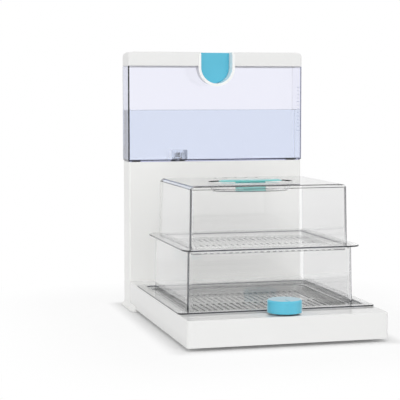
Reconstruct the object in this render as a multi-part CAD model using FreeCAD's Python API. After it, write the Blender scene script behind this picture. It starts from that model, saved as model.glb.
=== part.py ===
import FreeCAD, Part
import math
import os

# Electric food steamer: a shallow base with a control deck and a well, a tall slab tower
# behind it with a lift-off water tank on top, and a stack of trays and clear covers.
# Millimetres, +Z up. The origin is the centre of the whole object's outline, on the
# surface that it stands on. -Y is the front, where the knob is.

# ---- driving dimensions -------------------------------------------------------------

# plan of the base and the tower
body_width = 280.0            # base and tower, side to side
base_length = 365.0           # front of the base to the front of the tower
tower_depth = 44.0
tank_proud = 1.0              # how far the tank stands out over the tower, all round
wall = 2.5                    # moulded housings
corner_r = 5.0                # upright corners of the base
tower_corner_r = 3.0          # upright corners of the tower, tank and tank lid
edge_r = 1.5                  # softened top edge of the base

# heights
base_clear = 5.0              # under the base
base_height = 36.0            # underside of the base to the control deck
stand_top = 9.0               # stand under the tower and the base's rear end
tower_height = 218.7          # above the stand
tank_height = 148.2
lid_seam = 0.3                # between tank and tank lid
lid_height = 21.5
well_depth = 22.0             # below the deck

# general fits
seat_gap = 0.3                # between pieces of different bodies that rest on each other
fit_gap = 0.2                 # between fixed mouldings that nest
run_gap = 0.05                # radial, shaft in its bearing
slide_gap = 0.6               # beside a piece that lifts out

# stand
stand_flare = 6.5             # outward sweep at each side
stand_reach = 43.0            # forward of the tower, under the base
stand_lip = 1.2               # upright edge at the bottom
stand_wall = 3.0
pad_r = 9.0
pad_stem_r = 3.0
pad_proud = 0.6               # rubber pads stand this far out of the stand
pad_inset = 16.0              # pad centre to the side of the base
foot_inset = 36.0             # the front feet sit further in
foot_setback = 60.0

# stack
stack_offset = 183.0          # front of the tower to the middle of the stack
tray_wall = 2.0
rim_inset = 0.5               # outer rim of the lower tray to the sides of the base
rim_d = 267.0
rim_r = 6.0
rim_band = 10.5               # flat rim before the step down
ledge_drop = 3.6              # rim down to the ledge where the lower box stands
pan_depth = 6.7               # ledge down to the pan's floor
pan_r = 14.0
pan_draft = 4.0               # narrower at its floor by this much
slot_pitch = 9.0
slot_width = 4.2
slot_rows = 2
slot_bar = 10.0               # cross bar between rows of slots
slot_margin = 7.0             # pan's wall to the field of slots

box_inset_x, box_inset_y = 20.5, 28.5     # rim of the lower tray to the foot of the box
ledge_x, ledge_y = 6.0, 5.0               # foot of the box to the pan
box_draft = 1.3               # narrower at the top by this much at each side
box_height = 82.1
cover_wall = 2.0
cover_r = 8.0

flange_out_x, flange_out_y = 9.1, 13.3    # flange of the middle tray beyond the box
flange_r = 17.0
flange_t = 2.0
mid_pan_depth = 4.5
mid_lip = 2.4                 # raised lip inside the lid
mid_skirt = 4.0               # locating skirt inside the box
skirt_wall = 1.6

lid_inset_x, lid_inset_y = 13.0, 19.0     # edge of the flange to the foot of the lid
lid_draft = 1.5
cover_height = 83.4
lid_edge = 3.6                # slant of the lid's top edge
lid_soft = 1.3                # softens both ends of that slant
dish_a, dish_b = 62.0, 34.0   # half axes of the finger dish in the lid
dish_depth = 11.5
dish_end_r = 22.0             # round ends of the oval
dish_slant = 8.0              # slant between the dish's wall and its floor
grip_a, grip_b = 47.0, 17.0   # half axes of the handle's cap
grip_end_r = 11.0
grip_t = 2.4
grip_lift = 0.2               # the cap's underside above the lid's top
grip_taper = 5.0              # the cap thins out over this much towards its rim
grip_rim_t = 1.0
stem_w, stem_d = 45.0, 13.0
handle_screw_inset = 8.5      # screws to the ends of the stem
vent_count = 5                # steam vents at the rear of the lid
vent_pitch = 16.0
vent_w, vent_l = 3.0, 10.0
vent_setback = 22.0

# drip tray
drip_wall = 1.8
drip_height = 17.5
drip_gap = 1.5
drip_draft = 5.0              # narrower at the bottom by this much
chimney_r = 13.5
chimney_h = 8.0

# knob and timer
knob_r = 23.5
knob_height = 17.0
knob_gap = 2.6                # over the deck
knob_setback = 24.2           # knob centre behind the base's front
knob_wall = 2.2
knob_edge = 1.6               # slanted edge round its top
knob_web_t = 1.4
pointer_w = 2.4
hub_r = 6.5
shaft_r = 3.0
collar_r = 9.0
collar_rise = 1.4
shaft_room = 1.2              # between the shaft and the deck's hole
flat_cut = 0.8                # flat on the shaft
timer_w, timer_d, timer_h = 48.0, 42.0, 23.0
bell_r, bell_h = 18.0, 6.0

# tank, its valve and lid
tank_wall = 2.4
tank_floor = 3.0
tank_edge = 1.7               # slanted lower edge of the tank
valve_x = -58.0
neck_r = 9.0
neck_bore = 5.5
neck_drop = 9.0
stem_r = 2.2
stem_reach = 1.5              # stem below the neck
head_r = 8.2
washer_t = 1.0
head_t = 1.6
valve_travel = 3.0
cage_r = 12.5
cage_wall = 1.5
cage_height = 11.5
cage_base = 1.5               # flange on the tank's floor
spring_wire_r = 0.45
spring_turns = 3
spring_runs = 10              # straight runs in one turn
lug_w, lug_d, lug_h = 14.0, 26.0, 5.0
lug_inset = 12.0
lid_corner = 9.0              # big radius at the ends of the tank lid
lid_skirt = 2.0
pocket_r = 25.4               # half width of the finger pocket
pocket_drop = 2.0             # pocket's round centre below the lid's lower edge
pocket_depth = 20.0
pocket_shell = 2.2
bezel_r = 29.6                # white rim round the pocket
bezel_t = 1.2
liner_t = 2.0

# boiler and steam way
boiler_w, boiler_h = 124.0, 62.0
boiler_z = 26.0
boiler_gap = 4.0              # behind the tower's front wall
boiler_depth = 24.0
boiler_wall = 4.0
boiler_r = 6.0                # outer corners
cover_t = 3.0
seal_t = 1.5
heater_r = 3.2
heater_inset = 16.0           # the tube's legs inside the boiler's cover
heater_tail = 10.0            # its ends beside the cover
heater_tab = 8.0
lug_r = 4.5                   # screw lugs of the boiler
duct_w = 34.0
duct_wall = 1.4
duct_lift = 0.2
nozzle_r = 10.0
nozzle_bore = 8.5
nozzle_rise = 8.8             # above the well's floor
nozzle_seal_w = 2.1
hose_r = 5.5
barb_r = 3.5
barb_wall = 1.2

# fasteners and small parts
screw_r = 1.6
screw_head_r = 3.2
screw_head_t = 2.0
screw_room = 0.3              # round a screw's shank or head
head_sink = 1.2               # screw heads sit this deep in what they hold
boss_r = 4.2
gland_r = 6.5
gland_bore = 3.8
gland_lip = 1.8
head_sides = 8                # small round parts that are many or hidden are drawn with few faces
shank_sides = 6
boss_sides = 8
tube_sides = 16

# ---- derived places -----------------------------------------------------------------

half_w = body_width / 2
total_depth = base_length + tower_depth + tank_proud
front_y = -total_depth / 2
tower_y = front_y + base_length
tower_back = tower_y + tower_depth
tower_mid = tower_y + tower_depth / 2
stack_y = tower_y - stack_offset
knob_y = front_y + knob_setback
stand_y = tower_y - stand_reach
base_top = base_clear + base_height
well_floor = base_top - well_depth

tower_top = stand_top + tower_height
tank_bottom = tower_top + seat_gap
tank_top = tank_bottom + tank_height
lid_z = tank_top + lid_seam
overall_height = lid_z + lid_height
pocket_z = lid_z - pocket_drop
seat_top = tank_bottom - neck_drop + 2.0

rim_w = body_width - 2 * rim_inset
rim_bottom = base_top + seat_gap
rim_top = rim_bottom + tray_wall
ledge_top = rim_top - ledge_drop
pan_floor = ledge_top - pan_depth
well_w = rim_w - 2 * rim_band + 2 * slide_gap + 1.0
well_d = rim_d - 2 * rim_band + 2 * slide_gap + 1.0
box_low = ledge_top + seat_gap
box_top = box_low + box_height
box_bottom_w, box_bottom_d = rim_w - 2 * box_inset_x, rim_d - 2 * box_inset_y
box_top_w, box_top_d = box_bottom_w - 2 * box_draft, box_bottom_d - 2 * box_draft
pan_w, pan_d = box_bottom_w - 2 * ledge_x, box_bottom_d - 2 * ledge_y
flange_w, flange_d = box_top_w + 2 * flange_out_x, box_top_d + 2 * flange_out_y
flange_top = box_top + seat_gap + flange_t
mid_floor = flange_top - flange_t - mid_pan_depth
lid_foot = flange_top + seat_gap
lid_top_z = lid_foot + cover_height
lid_bottom_w, lid_bottom_d = flange_w - 2 * lid_inset_x, flange_d - 2 * lid_inset_y
lid_top_w, lid_top_d = lid_bottom_w - 2 * lid_draft, lid_bottom_d - 2 * lid_draft

# ---- shape helpers ------------------------------------------------------------------


def point(x, y, z):
    return FreeCAD.Vector(x, y, z)


def block(x0, x1, y0, y1, z0, z1):
    return Part.makeBox(x1 - x0, y1 - y0, z1 - z0, point(x0, y0, z0))


def post(x, y, z0, z1, r):
    return Part.makeCylinder(r, z1 - z0, point(x, y, z0))


def post_y(x, z, y0, y1, r):
    return Part.makeCylinder(r, y1 - y0, point(x, y0, z), point(0, 1, 0))


def joined(shapes):
    first = shapes[0]
    if len(shapes) == 1:
        return first
    return first.fuse(shapes[1:]).removeSplitter()


def upright(body):
    """Edges that run from the bottom of a prism to its top."""
    height = body.BoundBox.ZLength
    return [edge for edge in body.Edges if edge.BoundBox.ZLength > height - 0.01]


def rounded(cx, cy, w, d, r, z0, z1):
    """Upright prism w by d about (cx, cy) with round corners."""
    body = block(cx - w / 2, cx + w / 2, cy - d / 2, cy + d / 2, z0, z1)
    return body.makeFillet(r, upright(body))


def bevelled(cx, cy, w, d, r, z0, z1):
    """Like rounded, but each corner is one flat tangent to its arc, for corners that hardly show."""
    body = block(cx - w / 2, cx + w / 2, cy - d / 2, cy + d / 2, z0, z1)
    return body.makeChamfer(r * (2 - math.sqrt(2)), upright(body))


def tapered(cx, cy, low, high, r, z0, z1):
    """Prism with flat drafted sides, low = (w, d) at z0 and high = (w, d) at z1, and round corners."""
    (w0, d0), (w1, d1) = low, high
    body = Part.makeWedge(-w0 / 2, z0, -d0 / 2, -d1 / 2, -w1 / 2, w0 / 2, z1, d0 / 2, d1 / 2, w1 / 2)
    body.rotate(point(0, 0, 0), point(1, 0, 0), 90)
    body.translate(point(cx, cy, 0))
    return body.makeFillet(r, upright(body))


def oval(cx, cy, a, b, end_r, z0, z1):
    """Upright oval prism of four tangent arcs, half axes a and b, with ends of radius end_r."""
    side_r = (a * a + b * b - 2 * a * end_r) / (2 * (b - end_r))
    reach = math.hypot(a - end_r, side_r - b)
    tx = (a - end_r) * (1 + end_r / reach)
    ty = end_r * (side_r - b) / reach
    outline = [(tx, -ty), (a, 0), (tx, ty), (0, b), (-tx, ty), (-a, 0), (-tx, -ty), (0, -b), (tx, -ty)]
    spots = [point(cx + x, cy + y, z0) for x, y in outline]
    arcs = [Part.Arc(*spots[first:first + 3]).toShape() for first in (0, 2, 4, 6)]
    return Part.Face(Part.Wire(arcs)).extrude(point(0, 0, z1 - z0))


def peg(x, y, z0, z1, r, sides=boss_sides):
    """Upright prism with the given number of sides, whose corners lie at radius r."""
    turns = [2 * math.pi * step / sides for step in range(sides)]
    spots = [point(x + r * math.cos(a), y + r * math.sin(a), z0) for a in turns]
    return Part.Face(Part.makePolygon(spots + [spots[0]])).extrude(point(0, 0, z1 - z0))


def peg_y(x, z, y0, y1, r, sides=boss_sides):
    """The same prism, lying front to back."""
    body = peg(0, 0, -y1, -y0, r, sides)
    body.rotate(point(0, 0, 0), point(1, 0, 0), 90)
    body.translate(point(x, 0, z))
    return body


def peg_x(y, z, x0, x1, r, sides=boss_sides):
    """The same prism, lying side to side."""
    body = peg(0, 0, x0, x1, r, sides)
    body.rotate(point(0, 0, 0), point(0, 1, 0), 90)
    body.translate(point(0, y, z))
    return body


def sleeve(x, y, z0, z1, outer, inner, sides=tube_sides):
    """Upright tube of prisms."""
    return peg(x, y, z0, z1, outer, sides).cut(peg(x, y, z0 - 1, z1 + 1, inner, sides))


def edges_at(shape, z):
    """Edges that lie flat at height z."""
    return [e for e in shape.Edges if all(abs(v.Z - z) < 1e-4 for v in e.Vertexes)
            and abs(e.CenterOfMass.z - z) < 1e-3]


def upright_edges(shape, x, y, tol=0.01):
    """Edges that stand upright at plan position |x|, y."""
    found = []
    for edge in shape.Edges:
        low = edge.BoundBox

        if low.XLength < tol and low.YLength < tol and abs(abs(low.XMin) - x) < tol and abs(low.YMin - y) < tol:
            found.append(edge)
    return found


def slot(cx, y0, y1, width, z0, z1):
    """Cutter for a slot that runs front to back."""
    return block(cx - width / 2, cx + width / 2, y0, y1, z0, z1)


def mirrored_pair(x, y):
    return [(-x, y), (x, y)]


def floor_slots(cx, cy, w, d, floor_top, floor_bottom):
    """Cutters for a floor with rows of slots that run front to back."""
    count = int((w - slot_pitch) / slot_pitch)
    first = cx - (count - 1) * slot_pitch / 2
    row_length = (d - (slot_rows + 1) * slot_bar) / slot_rows
    cutters = []
    for column in range(count):
        for row in range(slot_rows):
            x = first + column * slot_pitch
            y = cy - d / 2 + slot_bar + row * (row_length + slot_bar)
            cutters.append(slot(x, y, y + row_length, slot_width, floor_bottom - 1, floor_top + 1))
    return cutters


def screw_down(x, y, z_head, length):
    """Screw whose head is at the bottom, z_head, and whose shank points up."""
    return joined([peg(x, y, z_head, z_head + screw_head_t, screw_head_r, head_sides),
                   peg(x, y, z_head + screw_head_t, z_head + length, screw_r, shank_sides)])


def screw_in(x, z, y_head, length):
    """Screw whose head faces the back, with its seat at y_head, and whose shank points forward."""
    screw = screw_down(0, 0, -screw_head_t, length + screw_head_t)
    screw.rotate(point(0, 0, 0), point(1, 0, 0), 90)
    screw.translate(point(x, y_head, z))
    return screw


# ---- base ---------------------------------------------------------------------------

base_boss_inset = 18.0
base_boss_foot = 2.0          # the bosses end this far above the base's lower edge
base_screw_length = 13.0
boss_bore = 14.0
stand_boss_inset = 40.0
stand_boss_setback = 16.0
stand_screw_length = 16.0
timer_screw_x = 14.0
timer_screw_length = 10.0
bottom_t = 2.0
bottom_rib_x = 70.0
bottom_rib_t, bottom_rib_h = 1.6, 3.5
bottom_rib_end = 22.0         # the ribs stop this far inside the cover's ends
cooling_slots = 7
cooling_pitch = 12.0
cooling_w, cooling_l = 4.0, 30.0
cooling_setback = 18.0
vent_dots = 5                 # pin holes in the left side
vent_dot_r = 0.9
vent_dot_pitch = 10.0
vent_dot_drop = 3.5

base_boss_x = half_w - base_boss_inset
base_bosses = mirrored_pair(base_boss_x, front_y + 13.0) + mirrored_pair(base_boss_x, stand_y - 7.0)
stand_boss_x = half_w - stand_boss_inset
stand_bosses = mirrored_pair(stand_boss_x, stand_y + stand_boss_setback)
tower_feet = mirrored_pair(stand_boss_x, tower_mid)
timer_screws = [(-timer_screw_x, knob_y), (timer_screw_x, knob_y)]
foot_spots = mirrored_pair(half_w - foot_inset, front_y + foot_setback)
stand_pads = mirrored_pair(half_w - pad_inset, tower_mid)
steam_way_w = duct_w + 2.0    # opening for the steam duct in the walls between base and tower
well_bottom = 2.0
steam_way_top = well_floor - well_bottom + 1.0


def make_base_housing():
    """Base moulding: glossy deck, skirt and the well that the drip tray stands in."""
    mid_y = (front_y + tower_y) / 2
    body = block(-half_w, half_w, front_y, tower_y, base_clear, base_top)
    body = body.makeFillet(corner_r, upright_edges(body, half_w, front_y))
    body = body.makeChamfer(edge_r, [e for e in edges_at(body, base_top) if e.BoundBox.YMin < tower_y - 1])
    hollow = bevelled(0, mid_y, body_width - 2 * wall, base_length - 2 * wall, corner_r - wall,
                     base_clear - 1, base_top - wall)
    shell = body.cut(hollow)
    well_outer = bevelled(0, stack_y, well_w + 2 * wall, well_d + 2 * wall, rim_r + wall,
                         well_floor - well_bottom, base_top - wall / 2)
    bosses = [peg(x, y, base_clear + base_boss_foot, base_top - wall / 2, boss_r) for x, y in base_bosses]
    bosses += [peg(x, y, stand_top, base_top - wall / 2, boss_r) for x, y in stand_bosses]
    shell = joined([shell, well_outer] + bosses)
    cutters = [bevelled(0, stack_y, well_w, well_d, rim_r, well_floor, base_top + 1)]
    cutters += [peg(x, y, base_clear, base_clear + boss_bore, screw_r, shank_sides) for x, y in base_bosses]
    cutters += [peg(x, y, stand_top, stand_top + stand_screw_length, screw_r, shank_sides)
                for x, y in stand_bosses]
    cutters += [peg(x, y, base_top - 2 * wall, base_top + 1, screw_r + screw_room, shank_sides)
                for x, y in timer_screws]
    cutters.append(peg(0, stack_y, well_floor - 2 * wall, well_floor + 1, nozzle_r + nozzle_seal_w,
                       tube_sides))
    cutters.append(peg(0, knob_y, base_top - 2 * wall, base_top + 1, shaft_r + shaft_room, tube_sides))
    # the rear end stands on the stand, and the steam way runs through its back wall
    cutters.append(block(-half_w - 1, half_w + 1, stand_y - fit_gap, tower_y + 1, base_clear - 1, stand_top))
    cutters.append(block(-steam_way_w / 2, steam_way_w / 2, tower_y - wall - 1, tower_y + 1, stand_top - 1,
                         steam_way_top))
    for number in range(vent_dots):
        y = stack_y + (number - (vent_dots - 1) / 2) * vent_dot_pitch
        cutters.append(peg_x(y, base_top - vent_dot_drop, -half_w - 1, -half_w + wall + 1, vent_dot_r))
    shell = shell.cut(cutters)
    collar = sleeve(0, knob_y, base_top - wall / 2, base_top + collar_rise, collar_r, shaft_r + shaft_room)
    return joined([shell, collar])


def make_base_bottom():
    """Flat cover that closes the base from below, with cooling slots and stiffening ribs."""
    y0 = front_y + wall + fit_gap
    y1 = stand_y - 2 * fit_gap
    width = body_width - 2 * (wall + fit_gap)
    plate = bevelled(0, (y0 + y1) / 2, width, y1 - y0, corner_r - wall - fit_gap, base_clear,
                    base_clear + bottom_t)
    ribs = []
    for x in (-bottom_rib_x, bottom_rib_x):
        ribs.append(block(x - bottom_rib_t / 2, x + bottom_rib_t / 2, y0 + bottom_rib_end,
                          y1 - bottom_rib_end,
                          base_clear + bottom_t / 2, base_clear + bottom_t + bottom_rib_h))
    plate = joined([plate] + ribs)
    low, high = base_clear - 1, base_clear + bottom_t + 1
    cutters = [peg(x, y, low, high, screw_r + screw_room, shank_sides) for x, y in base_bosses]
    cutters += [peg(x, y, low, base_clear + head_sink, screw_head_r + screw_room, head_sides)
                for x, y in base_bosses]
    cutters += [peg(x, y, low, high, pad_stem_r) for x, y in foot_spots]
    for number in range(cooling_slots):
        x = (number - (cooling_slots - 1) / 2) * cooling_pitch
        y = front_y + cooling_setback
        cutters.append(slot(x, y, y + cooling_l, cooling_w, low, high))
    return plate.cut(cutters)


def make_base_screws():
    head = base_clear + head_sink - screw_head_t
    return Part.makeCompound([screw_down(x, y, head, base_screw_length) for x, y in base_bosses])


def make_rubber_feet():
    """Two plug-in feet under the front of the base and two flat pads in the stand."""
    shapes = []
    for x, y in foot_spots:
        foot = peg(x, y, 0, base_clear, pad_r, tube_sides)
        plug = peg(x, y, base_clear, base_clear + bottom_t + 1, pad_stem_r)
        shapes.append(joined([foot, plug]))
    for x, y in stand_pads:
        shapes.append(peg(x, y, 0, stand_top - stand_wall, pad_r, tube_sides))
    return Part.makeCompound(shapes)


stand_rib_pitch = 70.0


def make_stand():
    """Foot of the tower: a low plinth that sweeps outward at both sides."""
    foot = half_w + stand_flare
    rise = stand_top - stand_lip - pad_proud
    low = pad_proud
    bend_x = half_w + 0.18 * stand_flare
    bend_z = low + stand_lip + 0.32 * rise
    half_profile = [
        Part.LineSegment(point(-foot, 0, low), point(foot, 0, low)).toShape(),
        Part.LineSegment(point(foot, 0, low), point(foot, 0, low + stand_lip)).toShape(),
        Part.Arc(point(foot, 0, low + stand_lip), point(bend_x, 0, bend_z), point(half_w, 0,
                                                                                  stand_top)).toShape(),
        Part.LineSegment(point(half_w, 0, stand_top), point(-half_w, 0, stand_top)).toShape(),
        Part.Arc(point(-half_w, 0, stand_top), point(-bend_x, 0, bend_z),
                 point(-foot, 0, low + stand_lip)).toShape(),
        Part.LineSegment(point(-foot, 0, low + stand_lip), point(-foot, 0, low)).toShape()]
    face = Part.Face(Part.Wire(half_profile))
    length = tower_back - stand_y
    body = face.extrude(point(0, length, 0))
    body.translate(point(0, stand_y, 0))
    plan = rounded(0, stand_y + length / 2, 2 * foot, length, 9.0, 0, stand_top + 1)
    body = body.common(plan)
    cavity = bevelled(0, stand_y + length / 2, body_width - 2 * stand_wall, length - 2 * stand_wall, 4.0,
                     -1, stand_top - stand_wall)
    ribs = [block(x - 1, x + 1, stand_y + 1, tower_back - 1, pad_proud, stand_top - 1)
            for x in (-stand_rib_pitch, 0.0, stand_rib_pitch)]
    ribs.append(block(-half_w + 1, half_w - 1, tower_y - 1, tower_y + 1, pad_proud, stand_top - 1))
    sockets = [peg(x, y, pad_proud, stand_top - 1, pad_r + 2.0, tube_sides) for x, y in stand_pads]
    body = joined([body.cut(cavity)] + ribs + sockets)
    holes = [peg(x, y, -1, stand_top - stand_wall, pad_r, tube_sides) for x, y in stand_pads]
    holes += [peg(x, y, -1, stand_top + 1, screw_r + screw_room, shank_sides)
              for x, y in stand_bosses + tower_feet]
    return body.cut(holes)


def make_stand_screws():
    head = stand_top - stand_wall - screw_head_t
    return Part.makeCompound([screw_down(x, y, head, stand_screw_length)
                              for x, y in stand_bosses + tower_feet])


# ---- tower --------------------------------------------------------------------------

tower_boss_inset = 16.0
tower_boss_rise = 51.0        # lower screws above the stand
tower_boss_drop = 31.7        # upper screws below the tower's top
tower_foot_h = 22.0
rear_shell = 8.0              # depth of the rear cover
rear_screw_length = 12.0
tongue_t = 1.8                # the rear cover's tongues lie inside the front shell
tongue_l = 4.0
tongue_drop = 14.0            # they end this far below the tower's top
seat_ledge_w, seat_ledge_h, seat_ledge_l = 16.0, 5.0, 7.0
seat_ledge_inset = 25.0
louver_count = 10
louver_pitch = 9.0
louver_w, louver_h = 3.2, 26.0
louver_rows = (91.0, 141.0)   # above the stand
gland_inset, gland_rise = 36.0, 27.0

split_y = tower_back - rear_shell     # joint between the tower's two shells
tower_boss_x = half_w - tower_boss_inset
tower_bosses = [(x, z) for x in (-tower_boss_x, tower_boss_x)
                for z in (stand_top + tower_boss_rise, tower_top - tower_boss_drop)]
gland_x, gland_z = half_w - gland_inset, stand_top + gland_rise
seat_wall = 1.8
seat_low = seat_top - 2.0     # underside of the tank's seat
seat_ledge_x = half_w - seat_ledge_inset


def seat_ledges(y0, y1):
    """Ledges on a tower wall, which carry the tank's seat."""
    return [block(x - seat_ledge_w / 2, x + seat_ledge_w / 2, y0, y1, seat_low - seat_ledge_h, seat_low)
            for x in (-seat_ledge_x, -seat_ledge_x / 4, seat_ledge_x / 4, seat_ledge_x)]


def make_tower_front():
    """Front shell of the tower: front wall, two sides, screw posts and seat ledges."""
    outer = block(-half_w, half_w, tower_y, split_y, stand_top, tower_top)
    outer = outer.makeFillet(tower_corner_r, upright_edges(outer, half_w, tower_y))
    inner = block(-half_w + wall, half_w - wall, tower_y + wall, split_y + 1, stand_top - 1, tower_top + 1)
    shell = outer.cut(inner)
    posts = [peg_y(x, z, tower_y + wall / 2, tower_back - wall, boss_r) for x, z in tower_bosses]
    feet = [peg(x, y, stand_top, stand_top + tower_foot_h, boss_r) for x, y in tower_feet]
    feet += [block(x - 1, x + 1, tower_y + wall / 2, y, stand_top, stand_top + tower_foot_h)
             for x, y in tower_feet]
    shell = joined([shell] + posts + feet + seat_ledges(tower_y + wall / 2, tower_y + wall + seat_ledge_l))
    cutters = [peg_y(x, z, tower_back - wall - boss_bore, tower_back, screw_r, shank_sides)
               for x, z in tower_bosses]
    cutters += [peg(x, y, stand_top - 1, stand_top + stand_screw_length, screw_r, shank_sides)
                for x, y in tower_feet]
    cutters.append(block(-steam_way_w / 2, steam_way_w / 2, tower_y - 1, tower_y + wall + 1, stand_top - 1,
                         steam_way_top))
    return shell.cut(cutters)


def make_tower_rear():
    """Rear cover of the tower, with cooling slots and the opening for the mains lead."""
    outer = block(-half_w, half_w, split_y + fit_gap, tower_back, stand_top, tower_top)
    outer = outer.makeFillet(tower_corner_r, upright_edges(outer, half_w, tower_back))
    inner = block(-half_w + wall, half_w - wall, split_y - 1, tower_back - wall, stand_top - 1, tower_top + 1)
    shell = outer.cut(inner)
    tongue_x = half_w - wall - fit_gap
    tongues = []
    for side in (-1, 1):
        low, high = sorted((side * tongue_x, side * (tongue_x - tongue_t)))
        tongues.append(block(low, high, split_y - tongue_l, tower_back - wall / 2, stand_top + tongue_l,
                             tower_top - tongue_drop))
    shell = joined([shell] + tongues + seat_ledges(tower_back - wall - seat_ledge_l, tower_back - wall / 2))
    wall_y, back_y = tower_back - wall - 1, tower_back + 1
    cutters = [peg_y(x, z, wall_y, back_y, screw_r + screw_room, shank_sides) for x, z in tower_bosses]
    cutters += [peg_y(x, z, tower_back - head_sink, back_y, screw_head_r + screw_room, head_sides)
                for x, z in tower_bosses]
    cutters.append(peg_y(gland_x, gland_z, wall_y, back_y, gland_r, tube_sides))
    for number in range(louver_count):
        x = (number - (louver_count - 1) / 2) * louver_pitch
        for rise in louver_rows:
            z = stand_top + rise
            cutters.append(block(x - louver_w / 2, x + louver_w / 2, wall_y, back_y, z, z + louver_h))
    return shell.cut(cutters)


def make_rear_screws():
    return Part.makeCompound([screw_in(x, z, tower_back - head_sink, rear_screw_length)
                              for x, z in tower_bosses])


def make_cord_gland():
    """Rubber grommet in the rear cover, where the mains lead goes in."""
    inner_y = tower_back - wall
    neck = peg_y(gland_x, gland_z, inner_y, tower_back, gland_r, tube_sides)
    lips = [peg_y(gland_x, gland_z, tower_back, tower_back + gland_lip / 2, gland_r + gland_lip, tube_sides),
            peg_y(gland_x, gland_z, inner_y - gland_lip, inner_y, gland_r + gland_lip, tube_sides)]
    return joined([neck] + lips).cut(peg_y(gland_x, gland_z, inner_y - 3, tower_back + 3, gland_bore,
                                           tube_sides))


socket_r = neck_r + 2.0
cup_wall = 2.0
cup_depth = 9.0               # below the seat's underside
cup_rim = 3.0
barb_l = 18.0
pin_r = 1.4
pin_web = 4.5
seat_pin_top = tank_bottom - neck_drop - stem_reach - seat_gap
cup_low = seat_low - cup_depth


def make_tank_seat():
    """Tray in the tower's top: socket for the tank's neck, pin that opens its valve, hose barb."""
    inset = wall + fit_gap
    w = body_width - 2 * inset
    d = tower_depth - 2 * inset
    pan = block(-w / 2, w / 2, tower_mid - d / 2, tower_mid + d / 2, seat_low, tower_top - 0.7)
    pan = pan.cut(block(-w / 2 + seat_wall, w / 2 - seat_wall, tower_mid - d / 2 + seat_wall,
                        tower_mid + d / 2 - seat_wall, seat_top, tower_top + 1))
    cup = peg(valve_x, tower_mid, cup_low, seat_top + cup_rim, socket_r + cup_wall, tube_sides)
    barb = peg(valve_x, tower_mid, cup_low - barb_l, cup_low + 1, barb_r, tube_sides)
    body = joined([pan, cup, barb])
    body = body.cut([peg(valve_x, tower_mid, cup_low + cup_wall, seat_top + cup_rim + 1, socket_r,
                         tube_sides),
                     peg(valve_x, tower_mid, cup_low - barb_l - 1, cup_low + cup_wall + 1, barb_r - barb_wall,
                         tube_sides)])
    pin = peg(valve_x, tower_mid, cup_low + cup_wall - 0.5, seat_pin_top, pin_r)
    web = block(valve_x - socket_r, valve_x + socket_r, tower_mid - 0.7, tower_mid + 0.7,
                cup_low + cup_wall - 0.5, cup_low + cup_wall - 0.5 + pin_web)
    return joined([body, pin, web])


def make_seat_seal():
    low = seat_top - 1.0
    return sleeve(valve_x, tower_mid, low, low + 2.6, socket_r, neck_r + seat_gap)


# ---- boiler and steam way -----------------------------------------------------------

boiler_inlet_h = 12.0
boiler_fin_t, boiler_fin_l = 2.0, 9.0
boiler_fins = (-36.0, -18.0, 18.0, 36.0)
boiler_screw_length = 12.0
boiler_bore = 10.0
lug_out = 3.0                 # screw lugs beside the boiler
lug_in_z = 8.0
port_wall = 1.5
chute_d = 14.0
hose_grip = 6.0               # the hose's overlap on each barb
clip_h = 4.0
clip_t = 1.2

boiler_y = tower_y + wall + boiler_gap
boiler_back = boiler_y + boiler_depth
boiler_top = boiler_z + boiler_h
port_top = well_floor - well_bottom - duct_lift
port_low = stand_top + duct_lift
boiler_lug_x = boiler_w / 2 + lug_out
boiler_lugs = [(x, z) for x in (-boiler_lug_x, boiler_lug_x)
               for z in (boiler_z + lug_in_z, boiler_top - lug_in_z)]


def boiler_plate(y0, y1):
    """Plate of the boiler's outline."""
    body = block(-boiler_w / 2, boiler_w / 2, y0, y1, boiler_z, boiler_top)
    return body.makeFillet(boiler_r, [e for e in body.Edges if e.BoundBox.YLength > y1 - y0 - 0.1])


def boiler_room(y0, y1):
    """Inside of the boiler's walls."""
    return block(-boiler_w / 2 + boiler_wall, boiler_w / 2 - boiler_wall, y0, y1,
                 boiler_z + boiler_wall, boiler_top - boiler_wall)


def make_boiler():
    """Cast boiler: open at the back, with an inlet on top, a steam port below and fins."""
    body = boiler_plate(boiler_y, boiler_back).cut(boiler_room(boiler_y + boiler_wall, boiler_back + 1))
    inlet = peg(valve_x, tower_mid, boiler_top - boiler_wall, boiler_top + boiler_inlet_h, barb_r, tube_sides)
    half = duct_w / 2 - 2.0
    chute = block(-half, half, boiler_y, boiler_y + chute_d, port_low, boiler_z + boiler_wall / 2)
    fins = [block(x - boiler_fin_t / 2, x + boiler_fin_t / 2, boiler_y + 1, boiler_y + 1 + boiler_fin_l,
                  boiler_z + lug_in_z, boiler_top - lug_in_z) for x in boiler_fins]
    lugs = [peg_y(x, z, boiler_y + boiler_r, boiler_back, lug_r) for x, z in boiler_lugs]
    body = joined([body, inlet, chute] + fins + lugs)
    cutters = [peg_y(x, z, boiler_back - boiler_bore, boiler_back + 1, screw_r, shank_sides)
               for x, z in boiler_lugs]
    cutters.append(peg(valve_x, tower_mid, boiler_top - boiler_wall - 2, boiler_top + boiler_inlet_h + 1,
                       barb_r - barb_wall, tube_sides))
    cutters.append(block(-half + 2, half - 2, boiler_y + 2, boiler_y + chute_d - 2, port_low + port_wall,
                         boiler_z + boiler_wall + 1))
    cutters.append(block(-half + 2, half - 2, boiler_y - 1, boiler_y + 3, port_low + port_wall,
                         port_top - port_wall))
    return body.cut(cutters)


def make_boiler_seal():
    return boiler_plate(boiler_back, boiler_back + seal_t).cut(boiler_room(boiler_back - 1,
                                                                           boiler_back + seal_t + 1))


def make_boiler_cover():
    """Cover plate with its four screw lugs, which the heating tube is brazed to."""
    y0 = boiler_back + seal_t
    y1 = y0 + cover_t
    body = joined([boiler_plate(y0, y1)] + [peg_y(x, z, y0, y1, lug_r) for x, z in boiler_lugs])
    return body.cut([peg_y(x, z, y0 - 1, y1 + 1, screw_r + screw_room, shank_sides) for x, z in boiler_lugs])


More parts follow.
